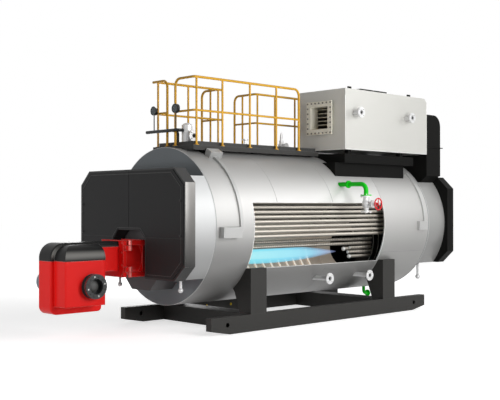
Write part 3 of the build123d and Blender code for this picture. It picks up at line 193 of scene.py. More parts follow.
def build_edge_group():
    """Mask that is light along outer edges, broken up by noise: wear, and painted highlights."""
    group, given, result = new_group(
        "worn_and_highlit_edges", [("Radius", "value", 0.006), ("Breakup", "value", 40.0)], [("Mask", "value")])
    bevel = group.nodes.new("ShaderNodeBevel")
    bevel.samples = 4
    group.links.new(given["Radius"], bevel.inputs["Radius"])
    surface = group.nodes.new("ShaderNodeNewGeometry")
    turn = group.nodes.new("ShaderNodeVectorMath")
    turn.operation = "DOT_PRODUCT"
    group.links.new(bevel.outputs["Normal"], turn.inputs[0])
    group.links.new(surface.outputs["Normal"], turn.inputs[1])
    edge = math_node(group, "SUBTRACT", 1.0, turn.outputs["Value"])
    place = coordinates(group)
    breakup = noise_node(group, place["Object"], given["Breakup"], 3.0)
    mask = multiply(group, multiply(group, edge, 3.0), breakup)
    clamp = group.nodes.new("ShaderNodeClamp")
    group.links.new(mask, clamp.inputs["Value"])
    group.links.new(clamp.outputs["Result"], result["Mask"])
    return group


def build_facing_shade_group():
    """Painted shade of a sheet by which way it faces: darker on top and darker towards the floor."""
    group, given, result = new_group(
        "painted_facing_shade", [("Above", "value", 0.8), ("Below", "value", 0.6)], [("Shade", "value")])
    surface = group.nodes.new("ShaderNodeNewGeometry")
    upward = axes_of(group, surface.outputs["Normal"])["Z"]
    above = map_range(group, upward, 0.34, 0.84, 1.0, given["Above"], smooth=True)
    below = map_range(group, upward, 0.30, -0.40, 1.0, given["Below"], smooth=True)
    group.links.new(multiply(group, above, below), result["Shade"])
    return group


def build_soft_corner_group():
    """Normal that runs round a pressed or moulded corner."""
    group, given, result = new_group("soft_corner", [("Radius", "value", 0.02)], [("Normal", "vector")])
    bevel = group.nodes.new("ShaderNodeBevel")
    bevel.samples = 8
    group.links.new(given["Radius"], bevel.inputs["Radius"])
    group.links.new(bevel.outputs["Normal"], result["Normal"])
    return group


def build_flank_group():
    """Mask of a moulding's flat flank, strongest along its middle, where a sheen is painted."""
    group, given, result = new_group("flank_sheen_mask", [("Middle", "value", 0.42)], [("Mask", "value")])
    place = coordinates(group)
    flat = map_range(group, axes_of(group, place["Normal"])["X"], 0.7, 1.0, smooth=True)
    level = axes_of(group, place["Generated"])["Z"]
    away = math_node(group, "ABSOLUTE", math_node(group, "SUBTRACT", level, given["Middle"]))
    band = map_range(group, away, 0.42, 0.02, smooth=True)
    group.links.new(multiply(group, flat, band), result["Mask"])
    return group


def build_tread_group():
    """Raised lozenges of a floor plate, as a height."""
    group, given, result = new_group("tread_plate", [("Pitch", "value", 45.0)], [("Height", "value")])
    place = coordinates(group)
    spread = group.nodes.new("ShaderNodeVectorMath")
    spread.operation = "SCALE"
    group.links.new(place["Object"], spread.inputs[0])
    group.links.new(given["Pitch"], spread.inputs["Scale"])
    parts = axes_of(group, spread.outputs[0])
    slant = math_node(group, "SINE", add(group, parts["X"], parts["Y"]))
    cross = math_node(group, "SINE", math_node(group, "SUBTRACT", parts["X"], parts["Y"]))
    crest = math_node(group, "POWER", math_node(group, "ABSOLUTE", slant), 3.0)
    lozenge = multiply(group, crest, cross)
    group.links.new(math_node(group, "MAXIMUM", lozenge, 0.0), result["Height"])
    return group


coat_tone = build_tone_group()
brushed_sheet = build_brush_group()
worn_and_highlit_edges = build_edge_group()
painted_facing_shade = build_facing_shade_group()
soft_corner = build_soft_corner_group()
flank_sheen_mask = build_flank_group()
tread_plate = build_tread_group()


def new_material(name):
    """Material with its node tree and its Principled shader."""
    material = bpy.data.materials.new(name)
    material.use_nodes = True
    return material, material.node_tree, material.node_tree.nodes["Principled BSDF"]


def place_group(material, group, **values):
    """Put a node group into a material with its own values."""
    node = material.node_tree.nodes.new("ShaderNodeGroup")
    node.node_tree = group
    return feed(node, **values)


def coat(name, color, roughness, metallic=0.0, spread=0.1, patch=1.2, speck=160.0, grain=0.0002, edge=None,
         edge_radius=0.005, stretch=None, streak=0.04, specular=0.5, facing_shade=None, corner=None, tread=False,
         fade=None, flank_sheen=None):
    """Painted or metal finish with patches and specks, and where asked more.

    edge lightens edges as wear and as painted highlight, stretch brushes streaks, settled paints shade on
    what faces up and down, corner rounds corners, tread presses lozenges, fade paints shade on the foot
    and flank paints a sheen on the +X side.
    """
    material, tree, shader = new_material(name)
    tone = place_group(material, coat_tone, Color=(*color, 1.0), Patch_Scale=patch, Spread=spread,
                       Speck_Scale=speck, Roughness=roughness)
    tint = tone.outputs["Color"]
    height = tone.outputs["Grain"]
    if stretch:
        brush = place_group(material, brushed_sheet, Stretch=stretch, Strength=streak)
        tint = darken(tree, tint, brush.outputs["Shade"])
        height = brush.outputs["Streak"]
    # Painted shade: darker where the surface faces up or down
    if facing_shade:
        shade_by_facing = place_group(material, painted_facing_shade, Above=facing_shade[0], Below=facing_shade[1])
        tint = darken(tree, tint, shade_by_facing.outputs["Shade"])
    # Painted sheen along the middle of the +X flank
    if flank_sheen:
        painted_sheen = place_group(material, flank_sheen_mask)
        tint = mix_color(tree, painted_sheen.outputs["Mask"], tint, flank_sheen)
    # Painted shade: darker towards the foot
    if fade:
        place = coordinates(tree)
        height_share = axes_of(tree, place["Generated"])["Z"]
        tint = darken(tree, tint, map_range(tree, height_share, 0.0, 1.0, fade))
    # Lighter edges: partly wear, partly painted highlight
    if edge:
        wear_and_highlight = place_group(material, worn_and_highlit_edges, Radius=edge_radius)
        tint = mix_color(tree, wear_and_highlight.outputs["Mask"], tint, edge)
    if tread:
        height = place_group(material, tread_plate).outputs["Height"]
    bump = tree.nodes.new("ShaderNodeBump")
    feed(bump, Strength=1.0 if tread else 0.25, Distance=grain, Height=height)
    if corner:
        feed(bump, Normal=place_group(material, soft_corner, Radius=corner).outputs["Normal"])
    feed(shader, Base_Color=tint, Roughness=tone.outputs["Roughness"], Normal=bump.outputs["Normal"],
         Metallic=metallic, Specular_IOR_Level=specular)
    return material


def grey(value):
    """Grey as a colour."""
    return (value, value, value)


# Finishes of the shell and the smokeboxes
rolled = {"spread": 0.04, "grain": 0.0003, "stretch": (2.0, 260.0, 2.0)}
# Painted shade darkens the cladding and drum sheets on top and underneath
cladding_sheet = coat("cladding_sheet", (0.74, 0.735, 0.72), 0.38, metallic=0.12, patch=0.7,
                      edge=(0.86, 0.86, 0.85), edge_radius=0.003, facing_shade=(0.54, 0.32), **rolled)
drum_sheet = coat("drum_sheet", (0.8, 0.81, 0.81), 0.34, metallic=0.1, patch=0.8, edge=grey(0.9),
                  facing_shade=(0.8, 0.42), **rolled)
# Darker copies of the cladding and the drum for the rear end: painted shade
rear_cladding_painted_shade = coat("rear_cladding_painted_shade", (0.62, 0.615, 0.6), 0.38, metallic=0.12, patch=0.7,
                     edge=(0.76, 0.76, 0.75), edge_radius=0.003, facing_shade=(0.62, 0.5), **rolled)
rear_drum_painted_shade = coat("rear_drum_painted_shade", (0.42, 0.42, 0.41), 0.36, metallic=0.1, patch=0.8, edge=grey(0.6),
                       facing_shade=(0.8, 0.6), **rolled)
end_paint = coat("end_paint", (0.21, 0.23, 0.245), 0.42, spread=0.08, grain=0.0003, edge=(0.35, 0.37, 0.39),
                 specular=0.25)
door_paint = coat("door_paint", (0.023, 0.023, 0.0235), 0.46, grain=0.0006, speck=420.0, edge=grey(0.05),
                  specular=0.12)
border_paint = coat("border_paint", (0.062, 0.062, 0.06), 0.42, spread=0.08, edge=grey(0.14),
                    edge_radius=0.003, specular=0.2)
cover_paint = coat("cover_paint", grey(0.03), 0.4, grain=0.0005, speck=420.0, edge=grey(0.1),
                   specular=0.3)
# Its light grey is a painted reflection, and fade paints shade at its foot
painted_reflection_sheet = coat("painted_reflection_sheet", (0.3, 0.29, 0.275), 0.34, metallic=0.2, spread=0.04,
                  stretch=(3.0, 300.0, 3.0), streak=0.06, edge=(0.5, 0.5, 0.48), fade=0.04)
throat_box_paint = coat("throat_box_paint", (0.075, 0.07, 0.072), 0.42, grain=0.0005, speck=420.0,
                        edge=(0.16, 0.15, 0.15), specular=0.3)
# Painted shade darkens the box sheet on top and underneath
box_sheet = coat("box_sheet", (0.62, 0.62, 0.61), 0.34, metallic=0.2, spread=0.05, patch=3.0, grain=0.0003,
                 edge=grey(0.85), facing_shade=(0.7, 0.6))
seam_shadow = coat("seam_shadow", grey(0.22), 0.5, patch=4.0)
# On the window's lip this pale trim is a painted highlight
lip_bright = coat("lip_bright", (0.84, 0.84, 0.82), 0.3, metallic=0.2, spread=0.05, patch=4.0)

# Finishes of the skid, the platform and its fittings
heavy_paint = {"spread": 0.12, "grain": 0.0006, "speck": 300.0}
skid_paint = coat("skid_paint", (0.03, 0.029, 0.027), 0.52, edge=(0.09, 0.09, 0.085), specular=0.22,
                  **heavy_paint)
deck_paint = coat("deck_paint", (0.04, 0.039, 0.037), 0.52, edge=grey(0.1), specular=0.22, **heavy_paint)
deck_tread = coat("deck_tread", (0.05, 0.05, 0.049), 0.5, spread=0.14, grain=0.003, edge=grey(0.12),
                  specular=0.25, tread=True)
rail_paint = coat("rail_paint", (0.74, 0.385, 0.014), 0.36, spread=0.06, patch=5.0, edge=(0.88, 0.58, 0.12),
                  specular=0.35)
yellow_mark = coat("yellow_mark", (0.85, 0.6, 0.01), 0.4, spread=0.05, patch=20.0)
black_pipe = coat("black_pipe", (0.01, 0.011, 0.012), 0.28, patch=5.0, edge=grey(0.05), specular=0.3)
gauge_case = coat("gauge_case", (0.01, 0.011, 0.012), 0.3, spread=0.08, patch=9.0, edge=grey(0.1),
                  specular=0.3)
gauge_dial = coat("gauge_dial", (0.03, 0.055, 0.068), 0.15, spread=0.06, patch=12.0, grain=0.0001)
gauge_ink = coat("gauge_ink", (0.55, 0.6, 0.62), 0.4, spread=0.05, patch=20.0, grain=0.0001)

# Finishes of the condenser, the duct and the pipework
# Painted shade darkens the condenser casing a little on top and more underneath
stainless_sheet = coat("stainless_sheet", (0.79, 0.785, 0.74), 0.34, metallic=0.12, spread=0.04, patch=1.0,
                       grain=0.0003, stretch=(3.0, 3.0, 200.0), streak=0.05, edge=(0.88, 0.88, 0.85),
                       facing_shade=(0.9, 0.5))
outlet_sheet = coat("outlet_sheet", (0.84, 0.81, 0.7), 0.36, metallic=0.1, spread=0.04, patch=2.0,
                    grain=0.0003, edge=(0.95, 0.94, 0.88))
duct_paint = coat("duct_paint", (0.007, 0.007, 0.0065), 0.55, edge=grey(0.035), specular=0.05, **heavy_paint)
pipe_paint = coat("pipe_paint", (0.004, 0.58, 0.01), 0.3, spread=0.05, patch=4.0, edge=(0.03, 0.62, 0.04),
                  specular=0.15)
cast_silver = coat("cast_silver", grey(0.74), 0.34, metallic=0.25, spread=0.14, patch=9.0, grain=0.0012,
                   speck=300.0, edge=grey(0.9))
wheel_enamel = coat("wheel_enamel", (0.7, 0.01, 0.015), 0.28, spread=0.06, patch=6.0,
                    edge=(0.85, 0.12, 0.12), specular=0.35)
bore_shadow = coat("bore_shadow", grey(0.012), 0.6, patch=8.0, specular=0.1)
zinc_bolt = coat("zinc_bolt", (0.62, 0.62, 0.6), 0.35, metallic=0.5, patch=30.0)
black_bolt = coat("black_bolt", grey(0.02), 0.4, patch=30.0, specular=0.3)
frame_bolt = coat("frame_bolt", (0.16, 0.155, 0.14), 0.4, metallic=0.3, patch=30.0)

# Finishes of the burner
# The burner's and the hood's light edges are painted highlights
burner_paint = coat("burner_paint", (0.84, 0.014, 0.012), 0.32, spread=0.04, patch=2.5, speck=600.0,
                    edge=(1.0, 0.5, 0.46), edge_radius=0.009, specular=0.12, corner=0.03)
# Pale red of the hinge sleeves: a painted highlight on the knuckles
pin_painted_highlight = coat("pin_painted_highlight", (0.92, 0.2, 0.18), 0.22, metallic=0.2, spread=0.05, patch=9.0,
                  edge=(1.0, 0.8, 0.78))
# The hood's lighter flank band is a painted sheen
hood_plastic = coat("hood_plastic", grey(0.012), 0.36, spread=0.08, speck=600.0, edge=(0.4, 0.4, 0.37),
                    edge_radius=0.009, specular=0.1, corner=0.03, flank_sheen=(0.25, 0.245, 0.23))
inlet_paint = coat("inlet_paint", (0.022, 0.023, 0.024), 0.4, spread=0.08, speck=600.0,
                   edge=(0.12, 0.13, 0.13), edge_radius=0.006, specular=0.35)
motor_paint = coat("motor_paint", (0.16, 0.21, 0.26), 0.4, grain=0.0006, speck=240.0, edge=(0.3, 0.34, 0.38))
dome_grey = coat("dome_grey", (0.06, 0.06, 0.058), 0.55, spread=0.08, patch=8.0, grain=0.0003)

# Finishes of what shows in the window
# Painted shade darkens the tubes' tops a little and their undersides much
tube_skin = coat("tube_skin", (0.8, 0.745, 0.655), 0.32, metallic=0.15, spread=0.06, patch=3.0,
                 edge=(0.92, 0.88, 0.82), facing_shade=(0.8, 0.3))
# Dark line in the tubes' grooves: painted shade
groove_painted_shade = coat("groove_painted_shade", (0.1, 0.085, 0.07), 0.6, patch=9.0)
furnace_skin = coat("furnace_skin", (0.66, 0.58, 0.5), 0.42, metallic=0.2, spread=0.14, patch=3.0,
                    grain=0.0006, edge=(0.8, 0.74, 0.66))
# Pale crests of the furnace: painted highlights
ridge_painted_highlight = coat("ridge_painted_highlight", (0.94, 0.9, 0.84), 0.35, spread=0.06, patch=6.0)
# Near black: painted shade inside the reversal chamber
chamber_painted_shade = coat("chamber_painted_shade", (0.018, 0.018, 0.017), 0.42, spread=0.2, patch=4.0, grain=0.0008,
                    edge=(0.08, 0.08, 0.07), specular=0.1)
chamber_line = coat("chamber_line", (0.42, 0.42, 0.4), 0.4, patch=6.0)

# Painted light: the furnace and its crests glow a little, standing in for the flame's light on them
for glowing, glow in ((furnace_skin, 0.08), (ridge_painted_highlight, 0.5)):
    feed(glowing.node_tree.nodes["Principled BSDF"], Emission_Color=(0.95, 0.84, 0.72, 1.0),
         Emission_Strength=glow)

nodes_of_finish = (
    (cladding_sheet, "shell_course_1 shell_course_2 shell_course_3"),
    (rear_cladding_painted_shade, "shell_course_4"),
    (end_paint, "front_end_plate rear_end_plate"),
    (drum_sheet, "front_smokebox"),
    (rear_drum_painted_shade, "rear_smokebox"),
    (cover_paint, "front_cover"),
    (door_paint, "front_doors"),
    (throat_box_paint, "throat_box"),
    (skid_paint, "skid_beams cross_beams saddles"),
    (deck_paint, "platform_frame side_landing access_ladder"),
    (deck_tread, "platform_deck"),
    (rail_paint, "rail_near rails_across rail_far rail_landing"),
    (black_pipe, "gauge_header"),
    (gauge_case, "pressure_gauges"),
    (stainless_sheet, "condenser_casing"),
    (outlet_sheet, "flue_outlet condenser_fins"),
    (duct_paint, "condenser_hatches condenser_support flue_duct rear_cover rear_doors"),
    (pipe_paint, "feed_pipe blowdown_pipe"),
    (cast_silver, "steam_outlet safety_valve vent_valve condenser_nozzles feed_valve lower_nozzles"),
    (cast_silver, "smokebox_drains"),
    (wheel_enamel, "feed_handwheel"),
    (box_sheet, "wireways"),
    (tube_skin, "smoke_tubes spiral_tubes stay_bars"),
    (furnace_skin, "furnace_tube"),
    (chamber_painted_shade, "reversal_chamber"),
    (burner_paint, "burner_throat burner_flange burner_housing volute_housing"),
    (hood_plastic, "burner_cover"),
    (inlet_paint, "air_inlet"),
    (motor_paint, "fan_motor"),
)
for finish, node_names in nodes_of_finish:
    for node_name in node_names.split():
        node_mesh = nodes[node_name].data
        node_mesh.materials.clear()
        node_mesh.materials.append(finish)


# Mesh helpers
def new_object(name, data):
    """Object of a mesh, lamp or camera, placed in the scene."""
    made = bpy.data.objects.new(name, data)
    bpy.context.scene.collection.objects.link(made)
    return made


def piece(name, mesh_builder, finish, body="boiler", smooth=True):
    """Finish a bmesh as a named object that rides on a body."""
    mesh = bpy.data.meshes.new(name)
    bmesh.ops.recalc_face_normals(mesh_builder, faces=mesh_builder.faces)
    mesh_builder.to_mesh(mesh)
    mesh_builder.free()
    mesh.materials.append(finish)
    made = new_object(name, mesh)
    if smooth:
        mesh.shade_smooth()
        mesh.set_sharp_from_angle(angle=radians(35))
    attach(made, body)
    return made


def standing(place, direction):
    """Matrix that puts local +Z along a direction, at a place."""
    turn = Vector(direction).to_track_quat("Z", "Y").to_matrix().to_4x4()
    return Matrix.Translation(Vector(place)) @ turn


def add_ring(mesh, matrix, radius, height, segments):
    """Ring of points round a matrix's Z, at a height."""
    ring = []
    for step in range(segments):
        turn = 2 * pi * step / segments
        ring.append(mesh.verts.new(matrix @ Vector((radius * cos(turn), radius * sin(turn), height))))
    return ring


def add_lathe(mesh, profile, place, direction, segments=24):
    """Turned shape from (radius, height) points along a direction."""
    matrix = standing(place, direction)
    rings = []
    for radius, height in profile:
        rings.append(add_ring(mesh, matrix, radius, height, segments if radius else 1))
    for lower, upper in zip(rings, rings[1:]):
        for step in range(segments):
            following = (step + 1) % segments
            if len(lower) == 1 and len(upper) > 1:
                mesh.faces.new((lower[0], upper[step], upper[following]))
            elif len(upper) == 1 and len(lower) > 1:
                mesh.faces.new((lower[step], lower[following], upper[0]))
            elif len(lower) > 1:
                mesh.faces.new((lower[step], lower[following], upper[following], upper[step]))


def add_bolt(mesh, place, direction, across, height):
    """Hexagon head with a chamfered crown on a washer."""
    base = 0.003
    washer = across * 0.72
    add_lathe(mesh, [(0, 0), (washer, 0), (washer, base), (0, base)], place, direction, 12)
    radius = across / 2 / cos(pi / 6)
    top = base + height
    profile = [(0, base), (radius, base), (radius, base + height * 0.8), (radius * 0.82, top), (0, top)]
    add_lathe(mesh, profile, place, direction, 6)


def add_block(mesh, low, high, bevel=0.0):
    """Box between two corners, with its edges taken off where asked."""
    low, high = Vector(low), Vector(high)
    made = bmesh.ops.create_cube(mesh, size=1.0, matrix=Matrix.Translation((low + high) / 2)
                                 @ Matrix.Diagonal((*(high - low), 1.0)))
    if bevel:
        edges = {edge for vert in made["verts"] for edge in vert.link_edges}
        bmesh.ops.bevel(mesh, geom=list(edges), offset=bevel, segments=2, affect="EDGES", profile=0.5)


def skin_rings(mesh, rings, capped=True):
    """Faces between rings with as many points each, and a cap on both ends."""
    for lower, upper in zip(rings, rings[1:]):
        for step in range(len(lower)):
            following = (step + 1) % len(lower)
            mesh.faces.new((lower[step], lower[following], upper[following], upper[step]))
    if capped:
        mesh.faces.new(rings[0])
        mesh.faces.new(rings[-1])


def add_tube(mesh, points, radius, segments):
    """Round bar along a line of points, with its ends closed."""
    rings = []
    for number, point in enumerate(points):
        before = points[max(number - 1, 0)]
        after = points[min(number + 1, len(points) - 1)]
        rings.append(add_ring(mesh, standing(point, after - before), radius, 0, segments))
    skin_rings(mesh, rings)


def node_span(name):
    """Lowest corner, highest corner and middle of a node."""
    low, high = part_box(name)
    return low, high, (low + high) / 2


def around(center, reach, count, first=0.0):
    """Places on a circle that faces +X, from an angle in degrees above +Y."""
    for number in range(count):
        turn = radians(first + 360.0 * number / count)
        yield center + Vector((0, reach * cos(turn), reach * sin(turn)))


def ring_strip(mesh, y_low, y_high, inner, outer, first=0.0, last=360.0, center=None):
    """Strip bent round the boiler's length, between two angles above +X, as four skins."""
    center_x, center_z = center or (0.0, shell_axis_z)
    whole = last - first >= 360.0
    step_angle = 2.5
    count = max(2, round((last - first) / step_angle))
    rings = []
    for step in range(count if whole else count + 1):
        turn = radians(first + (last - first) * step / count)
        ring = []
        for radius, y in ((inner, y_low), (outer, y_low), (outer, y_high), (inner, y_high)):
            ring.append(mesh.verts.new((center_x + radius * cos(turn), y, center_z + radius * sin(turn))))
        rings.append(ring)
    if whole:
        skin_rings(mesh, rings + rings[:1], capped=False)
    else:
        skin_rings(mesh, rings)


# Shell: course joints, end beads, a painted highlight on the cut window's lip and lengthwise joints
window_low, window_high = -32.0, 17.5
window_front, window_rear = -0.153, 3.033
course_joints = (0.391, 1.712, 3.033)
end_beads = (-0.951, 4.361)
lengthwise_joints = ((3.05, 4.33), (-0.93, -0.17))
lengthwise_angle = -24.5


def shell_trim():
    """Thin strips bent round the cladding."""
    joints = bmesh.new()
    half = 0.0032
    for y in course_joints:
        ring_strip(joints, y - half, y + half, shell_radius - 0.006, shell_radius - 0.0012,
                   window_high + 0.3, 360.0 + window_low - 0.3)
    piece("course_joints", joints, seam_shadow, smooth=False)

    beads = bmesh.new()
    inner, proud = shell_radius - 0.004, shell_radius + 0.0015
    for y in end_beads:
        ring_strip(beads, y, y + 0.014, inner, proud)
    piece("shell_end_beads", beads, box_sheet, smooth=False)

    # Pale strips round the cut window: a painted highlight on its edge
    lip = bmesh.new()
    wide, turn = 0.010, 0.4
    lip_proud = shell_radius + 0.002
    for y_low, y_high in ((window_front - wide, window_front), (window_rear, window_rear + wide)):
        ring_strip(lip, y_low, y_high, inner, lip_proud, window_low - turn, window_high + turn)
    for angle in (window_low - turn, window_high):
        ring_strip(lip, window_front, window_rear, inner, lip_proud, angle, angle + turn)
    piece("window_lip_highlight", lip, lip_bright, smooth=False)

    straps = bmesh.new()
    for y_low, y_high in lengthwise_joints:
        ring_strip(straps, y_low, y_high, shell_radius - 0.003, proud, lengthwise_angle,
                   lengthwise_angle + 0.25)
    piece("lengthwise_joints", straps, seam_shadow, smooth=False)


shell_trim()

# Tubes: grooved spiral tubes, domed stay ends and the weld lines of the reversal chamber
tube_radius = 0.0285
groove_depth = 0.0075
groove_pitch = 0.046
long_levels = (1.237, 1.313)
short_rows = ((1.085, 2.736), (1.161, 2.792))


def add_grooved_tube(mesh, x, z, y_low, y_high):
    """Tube with a spiral groove rolled into it."""
    sides = 14
    count = max(6, round((y_high - y_low) / 0.012))
    rings = []
    for step in range(count + 1):
        y = y_low + (y_high - y_low) * step / count
        ring = []
        for side in range(sides):
            turn = 2 * pi * side / sides
            depth = groove_depth * max(0.0, cos(turn - 2 * pi * y / groove_pitch)) ** 2
            reach = tube_radius - depth
            ring.append(mesh.verts.new((x + reach * cos(turn), y, z + reach * sin(turn))))
        rings.append(ring)
    skin_rings(mesh, rings)


def add_groove_line(mesh, x, z, y_low, y_high):
    """Painted shade along the bottom of a tube's groove."""
    end_gap, line_reach, line_radius = 0.004, 0.0222, 0.0050
    count = round((y_high - y_low) / groove_pitch * 10)
    points = []
    for step in range(count + 1):
        y = y_low + end_gap + (y_high - y_low - 2 * end_gap) * step / count
        turn = 2 * pi * y / groove_pitch
        points.append(Vector((x + line_reach * cos(turn), y, z + line_reach * sin(turn))))
    add_tube(mesh, points, line_radius, 5)


def tube_details():
    """Spiral tubes on both sides, their ends, and two stays with domed nuts."""
    low, high, middle = node_span("spiral_tubes")
    row_x = high.x - tube_radius
    rows = [(z, low.y) for z in long_levels] + list(short_rows)
    tubes = bmesh.new()
    for side in (-1, 1):
        for z, front in rows:
            add_grooved_tube(tubes, side * row_x, z, front, high.y)
    made = piece("grooved_tubes", tubes, tube_skin)
    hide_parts("spiral_tubes")
    spirals = bmesh.new()
    for z, front in rows:
        add_groove_line(spirals, row_x, z, front, high.y)
    piece("groove_spirals", spirals, groove_painted_shade)

    ends = bmesh.new()
    dome = [(0.0, 0.034), (0.013, 0.033), (0.025, 0.027), (0.034, 0.015), (0.037, 0.0), (0.037, -0.012),
            (0.0, -0.012)]
    for place in ((0.558, 2.695, 1.143), (0.600, 2.799, 1.007)):
        add_lathe(ends, dome, place, (0, -1, 0), 20)
    stub = [(0.0, 0.008), (0.020, 0.007), (0.027, 0.0), (0.0, 0.0)]
    for z, front in short_rows:
        add_lathe(ends, stub, (row_x, front, z), (0, -1, 0), 18)
    piece("stay_domes", ends, lip_bright)

    low, high, middle = node_span("reversal_chamber")
    weld_inner, weld_outer = 0.686, 0.695
    welds = bmesh.new()
    for y, width in ((3.378, 0.016), (3.52, 0.022)):
        ring_strip(welds, y, y + width, weld_inner, weld_outer, center=(0.0, middle.z))
    piece("chamber_weld_lines", welds, chamber_line, smooth=False)


tube_details()


def furnace_details():
    """Crests of the corrugated furnace, on its closed side, pale and glowing as painted highlights."""
    low, high, middle = node_span("furnace_tube")
    crest_count, first_crest, crest_pitch, crest_width = 16, 0.78, 0.2, 0.022
    crest_inner, crest_outer = 0.4905, 0.5015
    crest_start, crest_end = -176.0, -61.5
    ridges = bmesh.new()
    for number in range(crest_count):
        y = low.y + first_crest + crest_pitch * number
        ring_strip(ridges, y, y + crest_width, crest_inner, crest_outer, crest_start, crest_end,
                   (0.0, middle.z))
    piece("furnace_ridges", ridges, ridge_painted_highlight, smooth=False)


furnace_details()


# Condenser: bolts of its outlet, corner trims and pipe flanges
def add_flange_fittings(bolts, bores, face, bolt_reach, bore_radii):
    """Four bolts on a pipe flange that faces +X, and the painted shade in its bore."""
    deep, proud = 0.020, 0.001
    inner, mouth, outer = bore_radii
    for place in around(face - Vector((proud, 0, 0)), bolt_reach, 4, 45.0):
        add_bolt(bolts, place, (1, 0, 0), 0.016, 0.008)
    bore_shade = [(0.0, -deep), (inner, -deep), (mouth, 0.0), (outer, proud), (outer, -deep - 0.002),
              (0.0, -deep - 0.002)]
    add_lathe(bores, bore_shade, face, (1, 0, 0), 28)


def nozzle_pair(node_name, names, bore_radii):
    """Fittings of a node's two nozzles, as a piece of bolts and a piece of bores."""
    low, high, middle = node_span(node_name)
    flange_radius = (high.z - low.z) / 2
    bolts = bmesh.new()
    bores = bmesh.new()
    for y in (low.y + flange_radius, high.y - flange_radius):
        add_flange_fittings(bolts, bores, Vector((high.x, y, middle.z)), flange_radius * 0.76, bore_radii)
    piece(names + "_bolts", bolts, zinc_bolt)
    piece(names + "_bores", bores, bore_shadow)


def condenser_details():
    """Bolts round the flue outlet, bright trims on the casing's edges and the pipe flanges."""
    low, high, middle = node_span("flue_outlet")
    inset = 0.028
    across = high.x - low.x - 2 * inset
    per_side = 7
    bolts = bmesh.new()
    for number in range(per_side):
        step = -across / 2 + across * number / (per_side - 1)
        for beside in (-across / 2, across / 2):
            places = [(middle.x + step, low.y, middle.z + beside)]
            if 0 < number < per_side - 1:
                places.append((middle.x + beside, low.y, middle.z + step))
            for place in places:
                add_bolt(bolts, place, (0, -1, 0), 0.022, 0.009)
    piece("flue_outlet_bolts", bolts, frame_bolt)

    low, high, middle = node_span("condenser_casing")
    width, proud, top_gap = 0.010, 0.002, 0.12
    trims = bmesh.new()
    for y in (low.y - proud, high.y - width):
        add_block(trims, (high.x - width, y, low.z), (high.x + proud, y + width + proud, high.z - top_gap),
                  proud)
    add_block(trims, (low.x, low.y - proud, low.z), (high.x, low.y + width, low.z + width), proud)
    add_block(trims, (high.x - width, low.y, low.z), (high.x + proud, high.y, low.z + width), proud)
    piece("condenser_corner_trims", trims, lip_bright)
    nozzle_pair("condenser_nozzles", "condenser_nozzle", (0.036, 0.040, 0.043))
    nozzle_pair("lower_nozzles", "lower_nozzle", (0.034, 0.037, 0.040))


condenser_details()

# Doors: pale side sheets that carry a painted reflection, knobs and raised borders
knob_profile = [(0, 0), (0.020, 0), (0.020, 0.006), (0.013, 0.010), (0.015, 0.018), (0.010, 0.022),
                (0, 0.022)]


def add_border(mesh, line, face_y):
    """Raised bead along a line of (x, z) points on a face towards -Y."""
    half, overlap, proud, sunk = 0.005, 0.002, 0.003, 0.001
    for first, second in zip(line, line[1:]):
        start, end = Vector((first[0], 0, first[1])), Vector((second[0], 0, second[1]))
        along = (end - start).normalized()
        beside = Vector((-along.z, 0, along.x)) * half
        start, end = start - along * overlap, end + along * overlap
        corners = (start + beside, start - beside, end - beside, end + beside)
        front = [mesh.verts.new((corner.x, face_y - proud, corner.z)) for corner in corners]
        back = [mesh.verts.new((corner.x, face_y + sunk, corner.z)) for corner in corners]
        mesh.faces.new(front)
        mesh.faces.new(back)
        for number in range(4):
            other = (number + 1) % 4
            mesh.faces.new((front[number], front[other], back[other], back[number]))


def door_details():
    """Side sheets of the front cover, pale as a painted reflection, and knobs and borders of the doors."""
    low, high, middle = node_span("front_cover")
    bevel, thick = 0.21, 0.003
    sheets = bmesh.new()
    for side in (-1, 1):
        face = side * high.x
        add_block(sheets, (min(face, face + side * thick), low.y + 0.012, low.z + bevel),
                  (max(face, face + side * thick), high.y - 0.004, high.z - bevel), 0.001)
    piece("cover_side_sheets", sheets, painted_reflection_sheet)

    low, high, middle = node_span("front_doors")
    knob_inset = 0.05
    knobs = bmesh.new()
    for x, levels in ((low.x + knob_inset, (1.93, 1.50)), (high.x - knob_inset, (1.98, 1.48))):
        for z in levels:
            add_lathe(knobs, knob_profile, (x, low.y, z), (0, -1, 0), 18)
    piece("door_knobs", knobs, black_bolt)

    # One border follows the doors' cut corners, the other the recess above the burner
    corner_x, corner_z, inset, foot_x = 0.227, 0.217, 0.040, 0.44
    wide, bottom, top = high.x - inset, low.z + inset, high.z - inset
    half_outline = [(foot_x, bottom), (wide - corner_x, bottom), (wide, bottom + corner_z),
                    (wide, top - corner_z), (wide - corner_x, top)]
    half_recess = [(0.415, bottom), (0.415, 1.44), (0.285, 1.577)]
    borders = bmesh.new()
    for half in (half_outline, half_recess):
        add_border(borders, [(-x, z) for x, z in half] + half[::-1], low.y)
    piece("door_borders", borders, border_paint, smooth=False)

    low, high, middle = node_span("rear_doors")
    knobs = bmesh.new()
    for side in (-1, 1):
        for z in (1.20, 1.64, 2.08):
            add_lathe(knobs, knob_profile, (side * (high.x - 0.06), high.y, z), (0, 1, 0), 18)
    piece("rear_door_knobs", knobs, black_bolt)


door_details()


